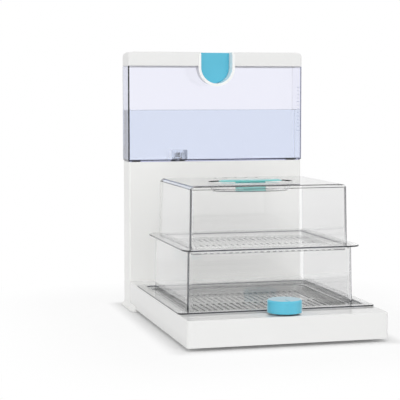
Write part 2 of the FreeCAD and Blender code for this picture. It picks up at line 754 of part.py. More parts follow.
def make_boiler_screws():
    y0 = boiler_back + seal_t + cover_t
    return Part.makeCompound([screw_in(x, z, y0, boiler_screw_length) for x, z in boiler_lugs])


heater_y = boiler_back + seal_t + cover_t + heater_r
heater_legs = (boiler_z + heater_inset, boiler_top - heater_inset)
heater_bend_r = (heater_legs[1] - heater_legs[0]) / 2
heater_bend_runs = 6


def make_heater():
    """U-shaped heating tube across the boiler's cover, with a flat tab at each end."""
    bend_x = -boiler_w / 2 + 22.0
    end_x = boiler_w / 2 + heater_tail
    middle_z = sum(heater_legs) / 2

    def section(x, z, turn):
        """Outline of the tube at (x, z), square to a path that runs at the given turn."""
        spots = []
        for corner in range(head_sides):
            a = 2 * math.pi * (corner + 0.5) / head_sides
            out = heater_r * math.sin(a)
            spots.append(point(x - out * math.sin(turn), heater_y + heater_r * math.cos(a),
                               z + out * math.cos(turn)))
        return Part.makePolygon(spots + [spots[0]])

    sections = [section(end_x, heater_legs[1], math.pi)]
    for step in range(heater_bend_runs + 1):
        a = math.pi / 2 + math.pi * step / heater_bend_runs
        sections.append(section(bend_x + heater_bend_r * math.cos(a), middle_z + heater_bend_r * math.sin(a),
                                a + math.pi / 2))
    sections.append(section(end_x, heater_legs[0], 2 * math.pi))
    tabs = [block(end_x - 1, end_x + heater_tab, heater_y - 0.4, heater_y + 0.4, z - 2.4, z + 2.4)
            for z in heater_legs]
    return joined([Part.makeLoft(sections, True, True)] + tabs)


def make_boiler_bracket():
    """Bent steel straps that carry the boiler on the stand."""
    strap_w, strap_t = 12.0, 1.5
    y0, y1 = boiler_y + 2, boiler_back - 2
    shapes = []
    for side in (-1, 1):
        x0, x1 = sorted((side * (boiler_w / 2 - 16.0), side * (boiler_w / 2 - 16.0 + strap_w)))
        shapes.append(joined([block(x0, x1, y0, y1, stand_top, stand_top + strap_t),
                              block(x0, x1, y0 + 6, y0 + 6 + strap_t, stand_top, boiler_z),
                              block(x0, x1, y0, y1, boiler_z - strap_t, boiler_z)]))
    return Part.makeCompound(shapes)


sensor_x = 44.0
sensor_z = boiler_z + boiler_h / 2


def make_thermostat():
    """Button thermostat on the boiler's front, with its mounting strap."""
    return joined([peg_y(sensor_x, sensor_z, boiler_y - 3.2, boiler_y, 8.0, tube_sides),
                   block(sensor_x - 12, sensor_x + 12, boiler_y - 1.0, boiler_y, sensor_z - 3, sensor_z + 3)])


def make_thermal_fuse():
    fuse_r = 2.0
    y = boiler_y - fuse_r
    body = peg_x(y, sensor_z, -sensor_x - 8, -sensor_x + 8, fuse_r, head_sides)
    leads = peg_x(y, sensor_z, -sensor_x - 15, -sensor_x + 15, 0.6, shank_sides)
    return joined([body, leads])


hose_top = cup_low - 1.0
hose_low = boiler_top + 1.0


def make_water_hose():
    """Short hose from the seat's barb to the boiler's inlet."""
    return sleeve(valve_x, tower_mid, hose_low, hose_top, hose_r, barb_r)


def make_hose_clips():
    spots = (hose_low + hose_grip / 2, hose_top - hose_grip / 2 - clip_h)
    return Part.makeCompound([sleeve(valve_x, tower_mid, z, z + clip_h, hose_r + clip_t, hose_r)
                              for z in spots])


def make_steam_duct():
    """Flat duct under the well, from the boiler's port to the nozzle."""
    y0 = stack_y - 15.0
    y1 = boiler_y - fit_gap
    body = block(-duct_w / 2, duct_w / 2, y0, y1, port_low, port_top)
    body = body.cut(block(-duct_w / 2 + duct_wall, duct_w / 2 - duct_wall, y0 + duct_wall, y1 + 1,
                          port_low + duct_wall, port_top - duct_wall))
    return body.cut(peg(0, stack_y, port_top - duct_wall - 1, port_top + 1, nozzle_bore, tube_sides))


nozzle_top = well_floor + nozzle_rise
nozzle_roof = 1.6
nozzle_slot_h = 3.0


def make_steam_nozzle():
    """Outlet that rises through the well's floor, closed by a cap with side slots."""
    flange = peg(0, stack_y, well_floor, well_floor + nozzle_roof, chimney_r - drip_wall - 0.4, tube_sides)
    tube = peg(0, stack_y, port_top, nozzle_top, nozzle_r, tube_sides)
    body = joined([flange, tube]).cut(peg(0, stack_y, port_top - 1, nozzle_top - nozzle_roof, nozzle_bore,
                                          tube_sides))
    slots = []
    for number in range(3):
        blade = block(-nozzle_r - 2, nozzle_r + 2, stack_y - 2.0, stack_y + 2.0,
                      nozzle_top - nozzle_roof - nozzle_slot_h, nozzle_top - nozzle_roof)
        blade.rotate(point(0, stack_y, 0), point(0, 0, 1), number * 60.0)
        slots.append(blade)
    return body.cut(slots)


def make_nozzle_seal():
    return sleeve(0, stack_y, well_floor - well_bottom, well_floor, nozzle_r + nozzle_seal_w, nozzle_r)


def make_terminal_block():
    """Terminal block on the stand, beside the gland."""
    x1 = gland_x - 10.0
    x0 = x1 - 24.0
    y0 = tower_y + 14.0
    body = block(x0, x1, y0, y0 + 14, stand_top, stand_top + 12)
    holes = [peg(x0 + 4 + step * 8, y0 + 7, stand_top + 7, stand_top + 13, 2.0, shank_sides)
             for step in range(3)]
    return body.cut(holes)


# ---- timer --------------------------------------------------------------------------

timer_top = base_top - wall
timer_low = timer_top - timer_h
bearing_depth = 9.0
knob_low = base_top + knob_gap
knob_top = knob_low + knob_height
hub_end = 3.6                 # the shaft's bore ends this far below the knob's top
web_h = 7.0


def make_timer_body():
    """Clockwork timer with its bell housing, hung from the deck by its neck."""
    case = bevelled(0, knob_y, timer_w, timer_d, 5.0, timer_low + bell_h, timer_top)
    bell = peg(0, knob_y, timer_low, timer_low + bell_h + 0.5, bell_r, tube_sides)
    body = joined([case, bell])
    body = body.cut([peg(x, y, timer_top - timer_screw_length, timer_top + 1, screw_r, shank_sides)
                     for x, y in timer_screws])
    return body.cut(post(0, knob_y, timer_top - bearing_depth, timer_top + 1, shaft_r + run_gap))


def make_timer_screws():
    """Two screws that hang the timer from the deck, hidden under the knob."""
    shapes = []
    for x, y in timer_screws:
        screw = screw_down(x, -y, -base_top - screw_head_t, timer_screw_length + screw_head_t)
        screw.rotate(point(0, 0, 0), point(1, 0, 0), 180)
        shapes.append(screw)
    return Part.makeCompound(shapes)


def shaft_flat(z0, z1, room):
    """What is missing from the shaft's round section, with some room beside it."""
    return block(-shaft_r - 1, shaft_r + 1, knob_y + shaft_r - flat_cut + room, knob_y + shaft_r + 1, z0, z1)


def make_timer_shaft():
    body = post(0, knob_y, timer_top - bearing_depth + seat_gap, knob_top - hub_end - seat_gap, shaft_r)
    return body.cut(shaft_flat(knob_low + 1, knob_top, 0))


def make_timer_knob():
    """Hollow knob of tinted plastic, with a hub, webs and a pointer bar on top."""
    body = post(0, knob_y, knob_low, knob_top, knob_r)
    body = body.makeChamfer(knob_edge, edges_at(body, knob_top))
    body = body.cut(peg(0, knob_y, knob_low - 1, knob_top - knob_wall, knob_r - knob_wall, 2 * tube_sides))
    hub = peg(0, knob_y, knob_low + 1.0, knob_top - knob_wall / 2, hub_r, tube_sides)
    webs = []
    for number in range(3):
        web = block(-knob_r + knob_wall / 2, knob_r - knob_wall / 2, knob_y - knob_web_t / 2,
                    knob_y + knob_web_t / 2, knob_top - knob_wall - web_h, knob_top - knob_wall / 2)
        web.rotate(point(0, knob_y, 0), point(0, 0, 1), 30.0 + number * 60.0)
        webs.append(web)
    pointer = block(-pointer_w / 2, pointer_w / 2, knob_y - knob_r + 3.0, knob_y - hub_r, knob_top - 1,
                    knob_top + 0.6)
    body = joined([body, hub, pointer] + webs)
    room = 0.03
    bore = post(0, knob_y, knob_low - 1, knob_top - hub_end, shaft_r + room)
    return body.cut(bore.cut(shaft_flat(knob_low + 1, knob_top, room)))


# ---- tank ---------------------------------------------------------------------------

tank_w = body_width + 2 * tank_proud
tank_d = tower_depth + 2 * tank_proud
tank_front = tower_mid - tank_d / 2
lug_x = tank_w / 2 - tank_wall - lug_inset
lug_wall = 2.0
floor_z = tank_bottom + tank_floor
pocket_back = tank_front + pocket_depth
rim_y = tank_front - seat_gap


def tank_solid(inset, z0, z1):
    """Prism of the tank's plan, drawn in by an inset, with round corners where there is room."""
    w, d = tank_w - 2 * inset, tank_d - 2 * inset
    if inset < tank_wall:
        return rounded(0, tower_mid, w, d, tower_corner_r - inset, z0, z1)
    return block(-w / 2, w / 2, tower_mid - d / 2, tower_mid + d / 2, z0, z1)


def u_shape(r, y0, y1, z_top):
    """Slab with a round lower end and a straight upper part, half width r."""
    round_end = post_y(0, pocket_z, y0, y1, r)
    upper = block(-r, r, y0, y1, pocket_z, z_top)
    return joined([round_end.cut(block(-r - 1, r + 1, y0 - 1, y1 + 1, pocket_z, pocket_z + r + 1)), upper])


def make_water_tank():
    """Clear tank: slanted lower edge, a notch for the lid's pocket and a hole for the valve."""
    body = tank_solid(0, tank_bottom, tank_top)
    body = body.makeChamfer(tank_edge, edges_at(body, tank_bottom))
    body = body.cut(tank_solid(tank_wall, floor_z, tank_top + 1))
    notch = u_shape(pocket_r + pocket_shell + slide_gap, tank_front - 1, tank_front + tank_wall + 1,
                    tank_top + 1)
    hole = peg(valve_x, tower_mid, tank_bottom - 1, floor_z + 1, neck_r, tube_sides)
    return body.cut([notch, hole])


def make_tank_lugs():
    """Two cored-out lugs under the tank, which locate it in its seat."""
    lugs = []
    for x in (-lug_x, lug_x):
        lug = bevelled(x, tower_mid, lug_w, lug_d, 3.0, tank_bottom - lug_h, tank_bottom)
        core = block(x - lug_w / 2 + lug_wall, x + lug_w / 2 - lug_wall, tower_mid - lug_d / 2 + lug_wall,
                     tower_mid + lug_d / 2 - lug_wall, tank_bottom - lug_h - 1, tank_bottom - lug_wall)
        lugs.append(lug.cut(core))
    return Part.makeCompound(lugs)


cage_top = floor_z + cage_height
cage_roof = 1.4
cage_slot_w = 2.6
valve_sides = 2 * shank_sides


def make_valve_cage():
    """Valve moulding in the tank's floor: neck below, and a slotted cap that strains the water."""
    neck = peg(valve_x, tower_mid, tank_bottom - neck_drop, floor_z, neck_r, tube_sides)
    cap = peg(valve_x, tower_mid, floor_z, cage_top, cage_r, tube_sides)
    room = peg(valve_x, tower_mid, floor_z + cage_base, cage_top - cage_roof, cage_r - cage_wall, tube_sides)
    bores = [peg(valve_x, tower_mid, tank_bottom - neck_drop - 1, floor_z + cage_base + 1, neck_bore,
                 tube_sides),
             peg(valve_x, tower_mid, cage_top - cage_roof - 1, cage_top + 1, stem_r + 0.4, valve_sides)]
    slots = []
    for number in range(tube_sides // 4):
        blade = block(valve_x - cage_r - 1, valve_x + cage_r + 1, tower_mid - cage_slot_w / 2,
                      tower_mid + cage_slot_w / 2, floor_z + cage_base + 0.5, cage_top - cage_roof - 1.2)
        blade.rotate(point(valve_x, tower_mid, 0), point(0, 0, 1), (number + 0.25) * 45.0)
        slots.append(blade)
    return joined([neck, cap]).cut([room] + bores + slots)


washer_z = floor_z + cage_base + seat_gap
head_z = washer_z + washer_t


def make_valve_plunger():
    stem = peg(valve_x, tower_mid, tank_bottom - neck_drop - stem_reach, cage_top - 0.6, stem_r, valve_sides)
    head = peg(valve_x, tower_mid, head_z, head_z + head_t, head_r, tube_sides)
    return joined([stem, head])


def make_valve_washer():
    washer = peg(valve_x, tower_mid, washer_z, head_z, head_r, tube_sides)
    return washer.cut(peg(valve_x, tower_mid, washer_z - 1, head_z + 1, stem_r, valve_sides))


spring_low = head_z + head_t + 0.05
spring_high = cage_top - cage_roof - 0.05


def make_valve_spring():
    """Coil spring, drawn as short straight runs of four-sided wire."""
    rise = spring_high - spring_low - 2 * spring_wire_r
    coil_r = stem_r + 1.6
    steps = spring_turns * spring_runs
    sections = []
    for step in range(steps + 1):
        turn = 2 * math.pi * step / spring_runs
        z = spring_low + spring_wire_r + rise * step / steps
        spots = []
        for corner in range(4):
            a = corner * math.pi / 2
            out = coil_r + spring_wire_r * math.cos(a)
            spots.append(point(valve_x + out * math.cos(turn), tower_mid + out * math.sin(turn),
                               z + spring_wire_r * math.sin(a)))
        sections.append(Part.makePolygon(spots + [spots[0]]))
    return Part.makeLoft(sections, True, True)


skirt_t = 1.6


def lid_plan(inset, z0, corner):
    """Front view of the tank lid: upper corners with a big radius."""
    top = overall_height - inset
    plan = block(-tank_w / 2 + inset, tank_w / 2 - inset, tank_front - 1, tank_front + tank_d + 1, z0, top)
    return plan.makeFillet(corner, [e for e in plan.Edges if e.BoundBox.YLength > tank_d
                                    and abs(e.CenterOfMass.z - top) < 0.01])


def make_tank_lid():
    """White lid: rounded ends, inner skirt, and a notch that the finger pocket sits in."""
    body = tank_solid(0, lid_z, overall_height).common(lid_plan(0, lid_z - 1, lid_corner))
    room = tank_solid(tank_wall, lid_z - 1, overall_height - tank_wall)
    body = body.cut(room.common(lid_plan(tank_wall, lid_z - 2, lid_corner - tank_wall)))
    skirt_in = tank_wall + slide_gap
    skirt = tank_solid(skirt_in, lid_z - lid_skirt, lid_z + 4).cut(
        tank_solid(skirt_in + skirt_t, lid_z - lid_skirt - 1, lid_z + 5))
    shelf = tank_solid(tank_wall / 2, lid_z, lid_z + skirt_t).cut(
        tank_solid(skirt_in + skirt_t, lid_z - 1, lid_z + 3))
    notch = u_shape(pocket_r + pocket_shell + fit_gap, tank_front - 5, pocket_back + pocket_shell + fit_gap,
                    overall_height + 5)
    return joined([body, skirt, shelf]).cut(notch)


def make_lid_pocket():
    """White U-shaped trough in the tank lid's notch, which hangs into the tank."""
    trough = u_shape(pocket_r + pocket_shell, rim_y, pocket_back, overall_height)
    return trough.cut(u_shape(pocket_r, rim_y - 1, pocket_back + 1, overall_height + 1))


def make_pocket_back():
    """Wall that closes the trough at the back."""
    return u_shape(pocket_r + pocket_shell, pocket_back, pocket_back + pocket_shell, overall_height)


def make_pocket_rim():
    """Flat white rim round the pocket, in front of the tank."""
    rim = u_shape(bezel_r, rim_y - bezel_t, rim_y, overall_height - lid_corner / 3)
    return rim.cut(u_shape(pocket_r, rim_y - bezel_t - 1, rim_y + 1, overall_height + 1))


def make_grip_liner():
    """Tinted plate on the back wall of the finger pocket."""
    return u_shape(pocket_r - fit_gap, pocket_back - liner_t, pocket_back, overall_height - 0.6)


# ---- stack --------------------------------------------------------------------------


def make_drip_tray():
    """Basin in the well, with a chimney round the steam nozzle."""
    w = well_w - 2 * drip_gap
    d = well_d - 2 * drip_gap
    low = well_floor + seat_gap
    less = 2 * drip_wall
    outer = tapered(0, stack_y, (w - drip_draft, d - drip_draft), (w, d), rim_r, low, low + drip_height)
    inner = tapered(0, stack_y, (w - drip_draft - less, d - drip_draft - less), (w - less, d - less),
                    rim_r - drip_wall, low + drip_wall, low + drip_height + 0.01)
    body = joined([outer.cut(inner), peg(0, stack_y, low, low + chimney_h, chimney_r, tube_sides)])
    return body.cut(peg(0, stack_y, low - 1, low + chimney_h + 1, chimney_r - drip_wall, tube_sides))


def make_lower_tray():
    """Steaming tray on the base: flat rim, step, ledge for the box and a slotted pan."""
    rim = rounded(0, stack_y, rim_w, rim_d, rim_r, rim_bottom, rim_top)
    step_w, step_d = rim_w - 2 * rim_band, rim_d - 2 * rim_band
    step = bevelled(0, stack_y, step_w, step_d, rim_r, ledge_top - tray_wall, rim_top)
    low_w, low_d = pan_w - pan_draft, pan_d - pan_draft
    more = 2 * tray_wall
    basin = tapered(0, stack_y, (low_w + more, low_d + more), (pan_w + more, pan_d + more), pan_r + tray_wall,
                    pan_floor - tray_wall, ledge_top)
    body = joined([rim, step, basin])
    body = body.cut([bevelled(0, stack_y, step_w - more, step_d - more, rim_r - tray_wall, ledge_top,
                              rim_top + 1),
                     tapered(0, stack_y, (low_w, low_d), (pan_w, pan_d), pan_r, pan_floor, ledge_top + 0.01)])
    less = 2 * slot_margin
    return body.cut(floor_slots(0, stack_y, pan_w - less, pan_d - less, pan_floor, pan_floor - tray_wall))


def make_lower_box():
    """Clear wall of the lower level, open at top and bottom, wider at the bottom."""
    less = 2 * cover_wall
    outer = tapered(0, stack_y, (box_bottom_w, box_bottom_d), (box_top_w, box_top_d), cover_r, box_low,
                    box_top)
    inner = tapered(0, stack_y, (box_bottom_w - less, box_bottom_d - less), (box_top_w - less,
                                                                             box_top_d - less),
                    cover_r - cover_wall, box_low - 0.01, box_top + 0.01)
    return outer.cut(inner)


def make_middle_tray():
    """Upper steaming tray: wide flange on the box, lip inside the lid, slotted pan."""
    low = flange_top - flange_t
    less = 2 * (cover_wall + slide_gap)
    lip_w, lip_d = lid_bottom_w - less, lid_bottom_d - less
    lip_r = cover_r - cover_wall
    flange = rounded(0, stack_y, flange_w, flange_d, flange_r, low, flange_top)
    lip = rounded(0, stack_y, lip_w, lip_d, lip_r, mid_floor - tray_wall, flange_top + mid_lip)
    skirt_w, skirt_d = box_top_w - less, box_top_d - less
    skirt = bevelled(0, stack_y, skirt_w, skirt_d, lip_r, low - mid_skirt, low + 0.5).cut(
        bevelled(0, stack_y, skirt_w - 2 * skirt_wall, skirt_d - 2 * skirt_wall, lip_r - skirt_wall,
                low - mid_skirt - 1, low + 1))
    body = joined([flange, lip, skirt])
    in_w, in_d = lip_w - 2 * tray_wall, lip_d - 2 * tray_wall
    body = body.cut(rounded(0, stack_y, in_w, in_d, lip_r - tray_wall, mid_floor, flange_top + mid_lip + 1))
    less = slot_margin
    return body.cut(floor_slots(0, stack_y, in_w - less, in_d - less, mid_floor, mid_floor - tray_wall))


def dish_solid(extra, top, depth):
    """Oval bowl with a slanted foot, grown outward by extra."""
    bowl = oval(0, stack_y, dish_a + extra, dish_b + extra, dish_end_r + extra, top - depth, top)
    return bowl.makeChamfer(dish_slant, edges_at(bowl, top - depth))


def soft_top(body, top, edge, soft):
    """Slants the edge round the top of a prism, and then both ends of that slant."""
    body = body.makeChamfer(edge, edges_at(body, top))
    return body.makeChamfer(soft, edges_at(body, top) + edges_at(body, top - edge))


vent_y = stack_y + lid_top_d / 2 - vent_setback
handle_screw_x = stem_w / 2 - handle_screw_inset
handle_screws = mirrored_pair(handle_screw_x, stack_y)
handle_screw_length = 11.0
dish_floor = lid_top_z - dish_depth


def make_upper_lid():
    """Clear cover with soft top edges, an oval finger dish and steam vents at the rear."""
    less = 2 * cover_wall
    outer = tapered(0, stack_y, (lid_bottom_w, lid_bottom_d), (lid_top_w, lid_top_d), cover_r, lid_foot,
                    lid_top_z)
    outer = soft_top(outer, lid_top_z, lid_edge, lid_soft)
    inner = tapered(0, stack_y, (lid_bottom_w - less, lid_bottom_d - less), (lid_top_w - less,
                                                                             lid_top_d - less),
                    cover_r - cover_wall, lid_foot - 0.01, lid_top_z - cover_wall)
    inner = inner.makeChamfer(lid_edge - cover_wall / 2, edges_at(inner, lid_top_z - cover_wall))
    bowl = dish_solid(cover_wall, lid_top_z - 0.1, dish_depth + cover_wall - 0.1)
    body = joined([outer.cut(inner), bowl])
    cutters = [dish_solid(0, lid_top_z + 0.01, dish_depth)]
    cutters += [peg(x, y, dish_floor - cover_wall - 1, lid_top_z, screw_r + screw_room, shank_sides)
                for x, y in handle_screws]
    for number in range(vent_count):
        x = (number - (vent_count - 1) / 2) * vent_pitch
        cutters.append(slot(x, vent_y - vent_l / 2, vent_y + vent_l / 2, vent_w, lid_top_z - 2 * cover_wall,
                            lid_top_z + 1))
    return body.cut(cutters)


def make_lid_handle():
    """Oval cap that thins out towards its rim, on a narrow stem that stands in the dish."""
    low = lid_top_z + grip_lift
    cap = oval(0, stack_y, grip_a, grip_b, grip_end_r, low, low + grip_t)
    cap = cap.makeChamfer(grip_t - grip_rim_t, grip_taper, edges_at(cap, low + grip_t))
    stem = rounded(0, stack_y, stem_w, stem_d, stem_d / 2 - 0.1, dish_floor + 0.05, low + 0.5)
    body = joined([cap, stem])
    return body.cut([peg(x, y, dish_floor - 1, dish_floor + handle_screw_length - cover_wall, screw_r,
                         shank_sides)
                     for x, y in handle_screws])


def make_handle_screws():
    low = dish_floor - cover_wall - screw_head_t
    return Part.makeCompound([screw_down(x, y, low, handle_screw_length + screw_head_t)
                              for x, y in handle_screws])


# ---- build --------------------------------------------------------------------------

MAKERS = {
    "base_housing": make_base_housing,
    "base_bottom": make_base_bottom,
    "base_screws": make_base_screws,
    "rubber_feet": make_rubber_feet,
    "stand": make_stand,
    "stand_screws": make_stand_screws,
    "tower_front": make_tower_front,
    "tower_rear": make_tower_rear,
    "rear_screws": make_rear_screws,
    "cord_gland": make_cord_gland,
    "tank_seat": make_tank_seat,
    "seat_seal": make_seat_seal,
    "boiler": make_boiler,
    "boiler_seal": make_boiler_seal,
    "boiler_cover": make_boiler_cover,
    "boiler_screws": make_boiler_screws,
    "heating_tube": make_heater,
    "boiler_bracket": make_boiler_bracket,
    "thermostat": make_thermostat,
    "thermal_fuse": make_thermal_fuse,
    "water_hose": make_water_hose,
    "hose_clips": make_hose_clips,
    "steam_duct": make_steam_duct,
    "steam_nozzle": make_steam_nozzle,
    "nozzle_seal": make_nozzle_seal,
    "terminal_block": make_terminal_block,
    "timer_body": make_timer_body,
    "timer_screws": make_timer_screws,
    "timer_shaft": make_timer_shaft,
    "timer_knob": make_timer_knob,
    "water_tank": make_water_tank,
    "tank_lugs": make_tank_lugs,
    "valve_cage": make_valve_cage,
    "valve_plunger": make_valve_plunger,
    "valve_washer": make_valve_washer,
    "valve_spring": make_valve_spring,
    "tank_lid": make_tank_lid,
    "lid_pocket": make_lid_pocket,
    "pocket_back": make_pocket_back,
    "pocket_rim": make_pocket_rim,
    "grip_liner": make_grip_liner,
    "drip_tray": make_drip_tray,
    "lower_tray": make_lower_tray,
    "lower_box": make_lower_box,
    "middle_tray": make_middle_tray,
    "upper_lid": make_upper_lid,
    "lid_handle": make_lid_handle,
    "handle_screws": make_handle_screws,
}


def main():
    os.makedirs("parts", exist_ok=True)
    for name, maker in MAKERS.items():
        shape = maker()
        shape.exportStep("parts/" + name + ".step")
        print(name, len(shape.Solids), "solid", round(shape.Volume / 1000.0, 2), "cm3", shape.isValid())


main()
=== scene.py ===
import math

import bmesh
import bpy
from bpy.props import FloatProperty, FloatVectorProperty, IntProperty, PointerProperty, StringProperty
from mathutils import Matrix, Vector


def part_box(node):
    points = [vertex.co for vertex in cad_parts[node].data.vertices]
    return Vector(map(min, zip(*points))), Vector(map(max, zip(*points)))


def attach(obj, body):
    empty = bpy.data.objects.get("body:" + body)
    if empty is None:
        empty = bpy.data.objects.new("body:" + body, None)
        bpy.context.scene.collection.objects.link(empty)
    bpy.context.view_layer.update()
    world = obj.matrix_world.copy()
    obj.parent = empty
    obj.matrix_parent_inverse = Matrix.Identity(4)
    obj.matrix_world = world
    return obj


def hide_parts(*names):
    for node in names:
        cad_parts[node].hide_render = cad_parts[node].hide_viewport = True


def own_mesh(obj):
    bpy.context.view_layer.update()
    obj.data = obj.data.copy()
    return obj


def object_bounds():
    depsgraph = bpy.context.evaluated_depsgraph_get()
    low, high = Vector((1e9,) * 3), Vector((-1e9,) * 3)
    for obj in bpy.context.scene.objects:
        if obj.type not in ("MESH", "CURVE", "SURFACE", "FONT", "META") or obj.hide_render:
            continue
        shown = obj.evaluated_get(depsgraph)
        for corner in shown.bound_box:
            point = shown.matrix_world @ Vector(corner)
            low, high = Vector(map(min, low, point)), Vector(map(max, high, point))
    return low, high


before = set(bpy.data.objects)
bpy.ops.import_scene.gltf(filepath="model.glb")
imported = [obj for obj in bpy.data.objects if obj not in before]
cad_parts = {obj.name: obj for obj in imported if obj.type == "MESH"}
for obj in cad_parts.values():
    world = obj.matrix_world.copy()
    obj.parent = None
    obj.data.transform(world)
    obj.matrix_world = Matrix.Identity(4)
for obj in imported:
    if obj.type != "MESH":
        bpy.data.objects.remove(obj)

bl_info = {
    "name": "Electric food steamer",
    "version": (1, 0, 0),
    "blender": (4, 5, 0),
    "location": "View3D > Sidebar > Steamer",
    "description": "Dresses a steamer's frame with its plastics, metals and rubbers, and fills its tank",
    "category": "Object",
}

CAD_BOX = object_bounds()
MM = 0.001

# places that the frame gives
TANK_LOW, TANK_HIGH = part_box("water_tank")
CAGE_LOW, CAGE_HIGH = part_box("valve_cage")
SPRING_LOW, SPRING_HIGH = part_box("valve_spring")

# how strongly each material bends light
ABS_IOR = 1.53
SAN_IOR = 1.57
POLYCARBONATE_IOR = 1.58
WATER_IOR = 1.333

CLEAR_SHARE = 0.985                 # of a lamp's light passes one clear face
CAST_LAY = (1.0, 1.0, 1.0)          # grain of a cast face, the same all ways
SHARP_ANGLE = math.radians(40)      # faces that meet at more than this keep a sharp edge between them
WHITE = (1.0, 1.0, 1.0, 1.0)


# ---- shader helpers --------------------------------------------------------------------


def linear(hex_colour, alpha=1.0):
    """Linear RGBA of an sRGB colour that is written as #RRGGBB."""
    parts = [int(hex_colour[i:i + 2], 16) / 255 for i in (1, 3, 5)]
    return tuple(c / 12.92 if c <= 0.04045 else ((c + 0.055) / 1.055) ** 2.4 for c in parts) + (alpha,)


def add_node(tree, kind, inputs=None, output=None, **settings):
    """Adds one shader node and returns it, or the one of its outputs that is named.

    An input is a plain value or the output that feeds it, and settings are the node's own
    properties.
    """
    node = tree.nodes.new(kind)
    for key, value in settings.items():
        setattr(node, key, value)
    for key, value in (inputs or {}).items():
        if isinstance(value, bpy.types.NodeSocket):
            tree.links.new(value, node.inputs[key])
        else:
            node.inputs[key].default_value = value
    return node.outputs[output] if output else node


def new_material(name):
    """Empty node material and its tree."""
    material = bpy.data.materials.new(name)
    material.use_nodes = True
    material.node_tree.nodes.clear()
    return material, material.node_tree


def uneven(tree, size_mm, detail=2.0, place=None):
    """Soft uneven pattern with cells size_mm across, which sticks to the piece."""
    if place is None:
        place = add_node(tree, "ShaderNodeTexCoord", output="Object")
    return add_node(tree, "ShaderNodeTexNoise", {
        "Vector": place, "Scale": 1 / (size_mm * MM), "Detail": detail}, "Fac")


def between(tree, pattern, first, second):
    """A number, or a colour written as #RRGGBB, that runs from one to the other with a pattern."""
    if isinstance(first, str):
        ends = {"Factor": pattern, "A": linear(first), "B": linear(second)}
        return add_node(tree, "ShaderNodeMix", ends, "Result", data_type="RGBA", blend_type="MIX")
    # an uneven pattern hardly leaves the middle of its range
    ends = {"Value": pattern, "From Min": 0.3, "From Max": 0.7, "To Min": first, "To Max": second}
    return add_node(tree, "ShaderNodeMapRange", ends, "Result")


def product(tree, *factors):
    """Product of masks and numbers: where all the masks hold."""
    result = factors[0]
    for factor in factors[1:]:
        result = add_node(tree, "ShaderNodeMath", {0: result, 1: factor}, "Value", operation="MULTIPLY")
    return result


def ramp(tree, vector, axis, limits, levels=(0.0, 1.0), about=None):
    """Runs smoothly between two levels while one axis of a vector runs between two limits.

    With about, the limits are distances from there, on both sides.
    """
    source = add_node(tree, "ShaderNodeSeparateXYZ", {"Vector": vector}, axis)
    if about is not None:
        off = add_node(tree, "ShaderNodeMath", {0: source, 1: about}, "Value", operation="SUBTRACT")
        source = add_node(tree, "ShaderNodeMath", {0: off}, "Value", operation="ABSOLUTE")
    return add_node(tree, "ShaderNodeMapRange", {
        "Value": source, "From Min": limits[0], "From Max": limits[1],
        "To Min": levels[0], "To Max": levels[1]}, "Result", interpolation_type="SMOOTHSTEP")


def mirrored_or_through(tree):
    """1 for rays that come off a glossy face or through a clear one, and 0 for others."""
    rays = add_node(tree, "ShaderNodeLightPath").outputs
    return add_node(tree, "ShaderNodeMath", {
        0: rays["Is Glossy Ray"], 1: rays["Is Transmission Ray"]}, "Value", operation="MAXIMUM")


def lets_light_through(tree):
    """Solid to the eye, while lamps shine through it with the small loss of one clear face."""
    shadow = add_node(tree, "ShaderNodeLightPath", output="Is Shadow Ray")
    passed = product(tree, shadow, CLEAR_SHARE)
    return add_node(tree, "ShaderNodeMath", {0: 1.0, 1: passed}, "Value", operation="SUBTRACT")


# ---- masks: where clear walls, corners and edges get a painted shade -------------------

# how squarely a face looks along an axis, from 0 across it to 1 along it
TANK_END = (0.8, 0.95)              # the tank's end walls
BOX_END = (0.97, 0.998)             # a box's drafted end walls
CORNER_FIRST = (0.84, 0.93)         # a box's corners look dark from here
CORNER_LAST = (0.993, 0.9995)       # to here
CORNER_UPRIGHT = (0.3, 0.6)         # and not where they turn to the top
TRAY_UPRIGHT = (0.35, 0.8)          # a tray's upright faces

# places and widths
CORNER_ASIDE = (80 * MM, 85 * MM)   # corners lie outside this, and a lid's dish inside it
TRAY_BAND = (7 * MM, 5.5 * MM)      # a tray's outer edge, from its widest line inward
BLUR = 0.1 * MM                     # softness of a mask's border

# shares of the painted edge shade
TANK_RIGHT_SHADE_SHARE = 0.12             # at the tank's right end, against its left one
TANK_DRY_SHADE_SHARE = 0.6                # above the water, against below it
BOX_END_SHADE_SHARE = 0.13                # on a box's end walls, against its corners
BACK_CORNER_SHADE_SHARE = 0.25            # at a box's back corners, against its front ones


def facing(tree, axis, limits, levels=(0.0, 1.0)):
    """Ramp over how squarely a face looks along an axis of its piece."""
    normal = add_node(tree, "ShaderNodeTexCoord", output="Normal")
    return ramp(tree, normal, axis, limits, levels, about=0.0)


def across(tree, place, axis, border, levels):
    """One level before a border on an axis of the piece, and another beyond it."""
    return ramp(tree, place, axis, (border - BLUR, border + BLUR), levels)


def tank_wall_painted_shade(tree, place):
    """Painted shade on the tank's end walls: more on the left one, and more below the water."""
    level = bpy.context.scene.steamer_water.level
    return product(tree, facing(tree, "X", TANK_END), across(tree, place, "X", 0.0, (1.0, TANK_RIGHT_SHADE_SHARE)),
                   across(tree, place, "Z", level, (1.0, TANK_DRY_SHADE_SHARE)))


def box_corner_painted_shade(tree, place):
    """Painted shade on a box's upright corners, in full at the front and less at the back, and lightly on its
    end walls.
    """
    corners = product(tree, facing(tree, "X", CORNER_FIRST), facing(tree, "X", CORNER_LAST, (1.0, 0.0)),
                      facing(tree, "Z", CORNER_UPRIGHT, (1.0, 0.0)),
                      ramp(tree, place, "X", CORNER_ASIDE, about=0.0),
                      across(tree, place, "Y", 0.0, (1.0, BACK_CORNER_SHADE_SHARE)))
    ends = facing(tree, "X", BOX_END, (0.0, BOX_END_SHADE_SHARE))
    return add_node(tree, "ShaderNodeMath", {0: corners, 1: ends}, "Value", operation="MAXIMUM")


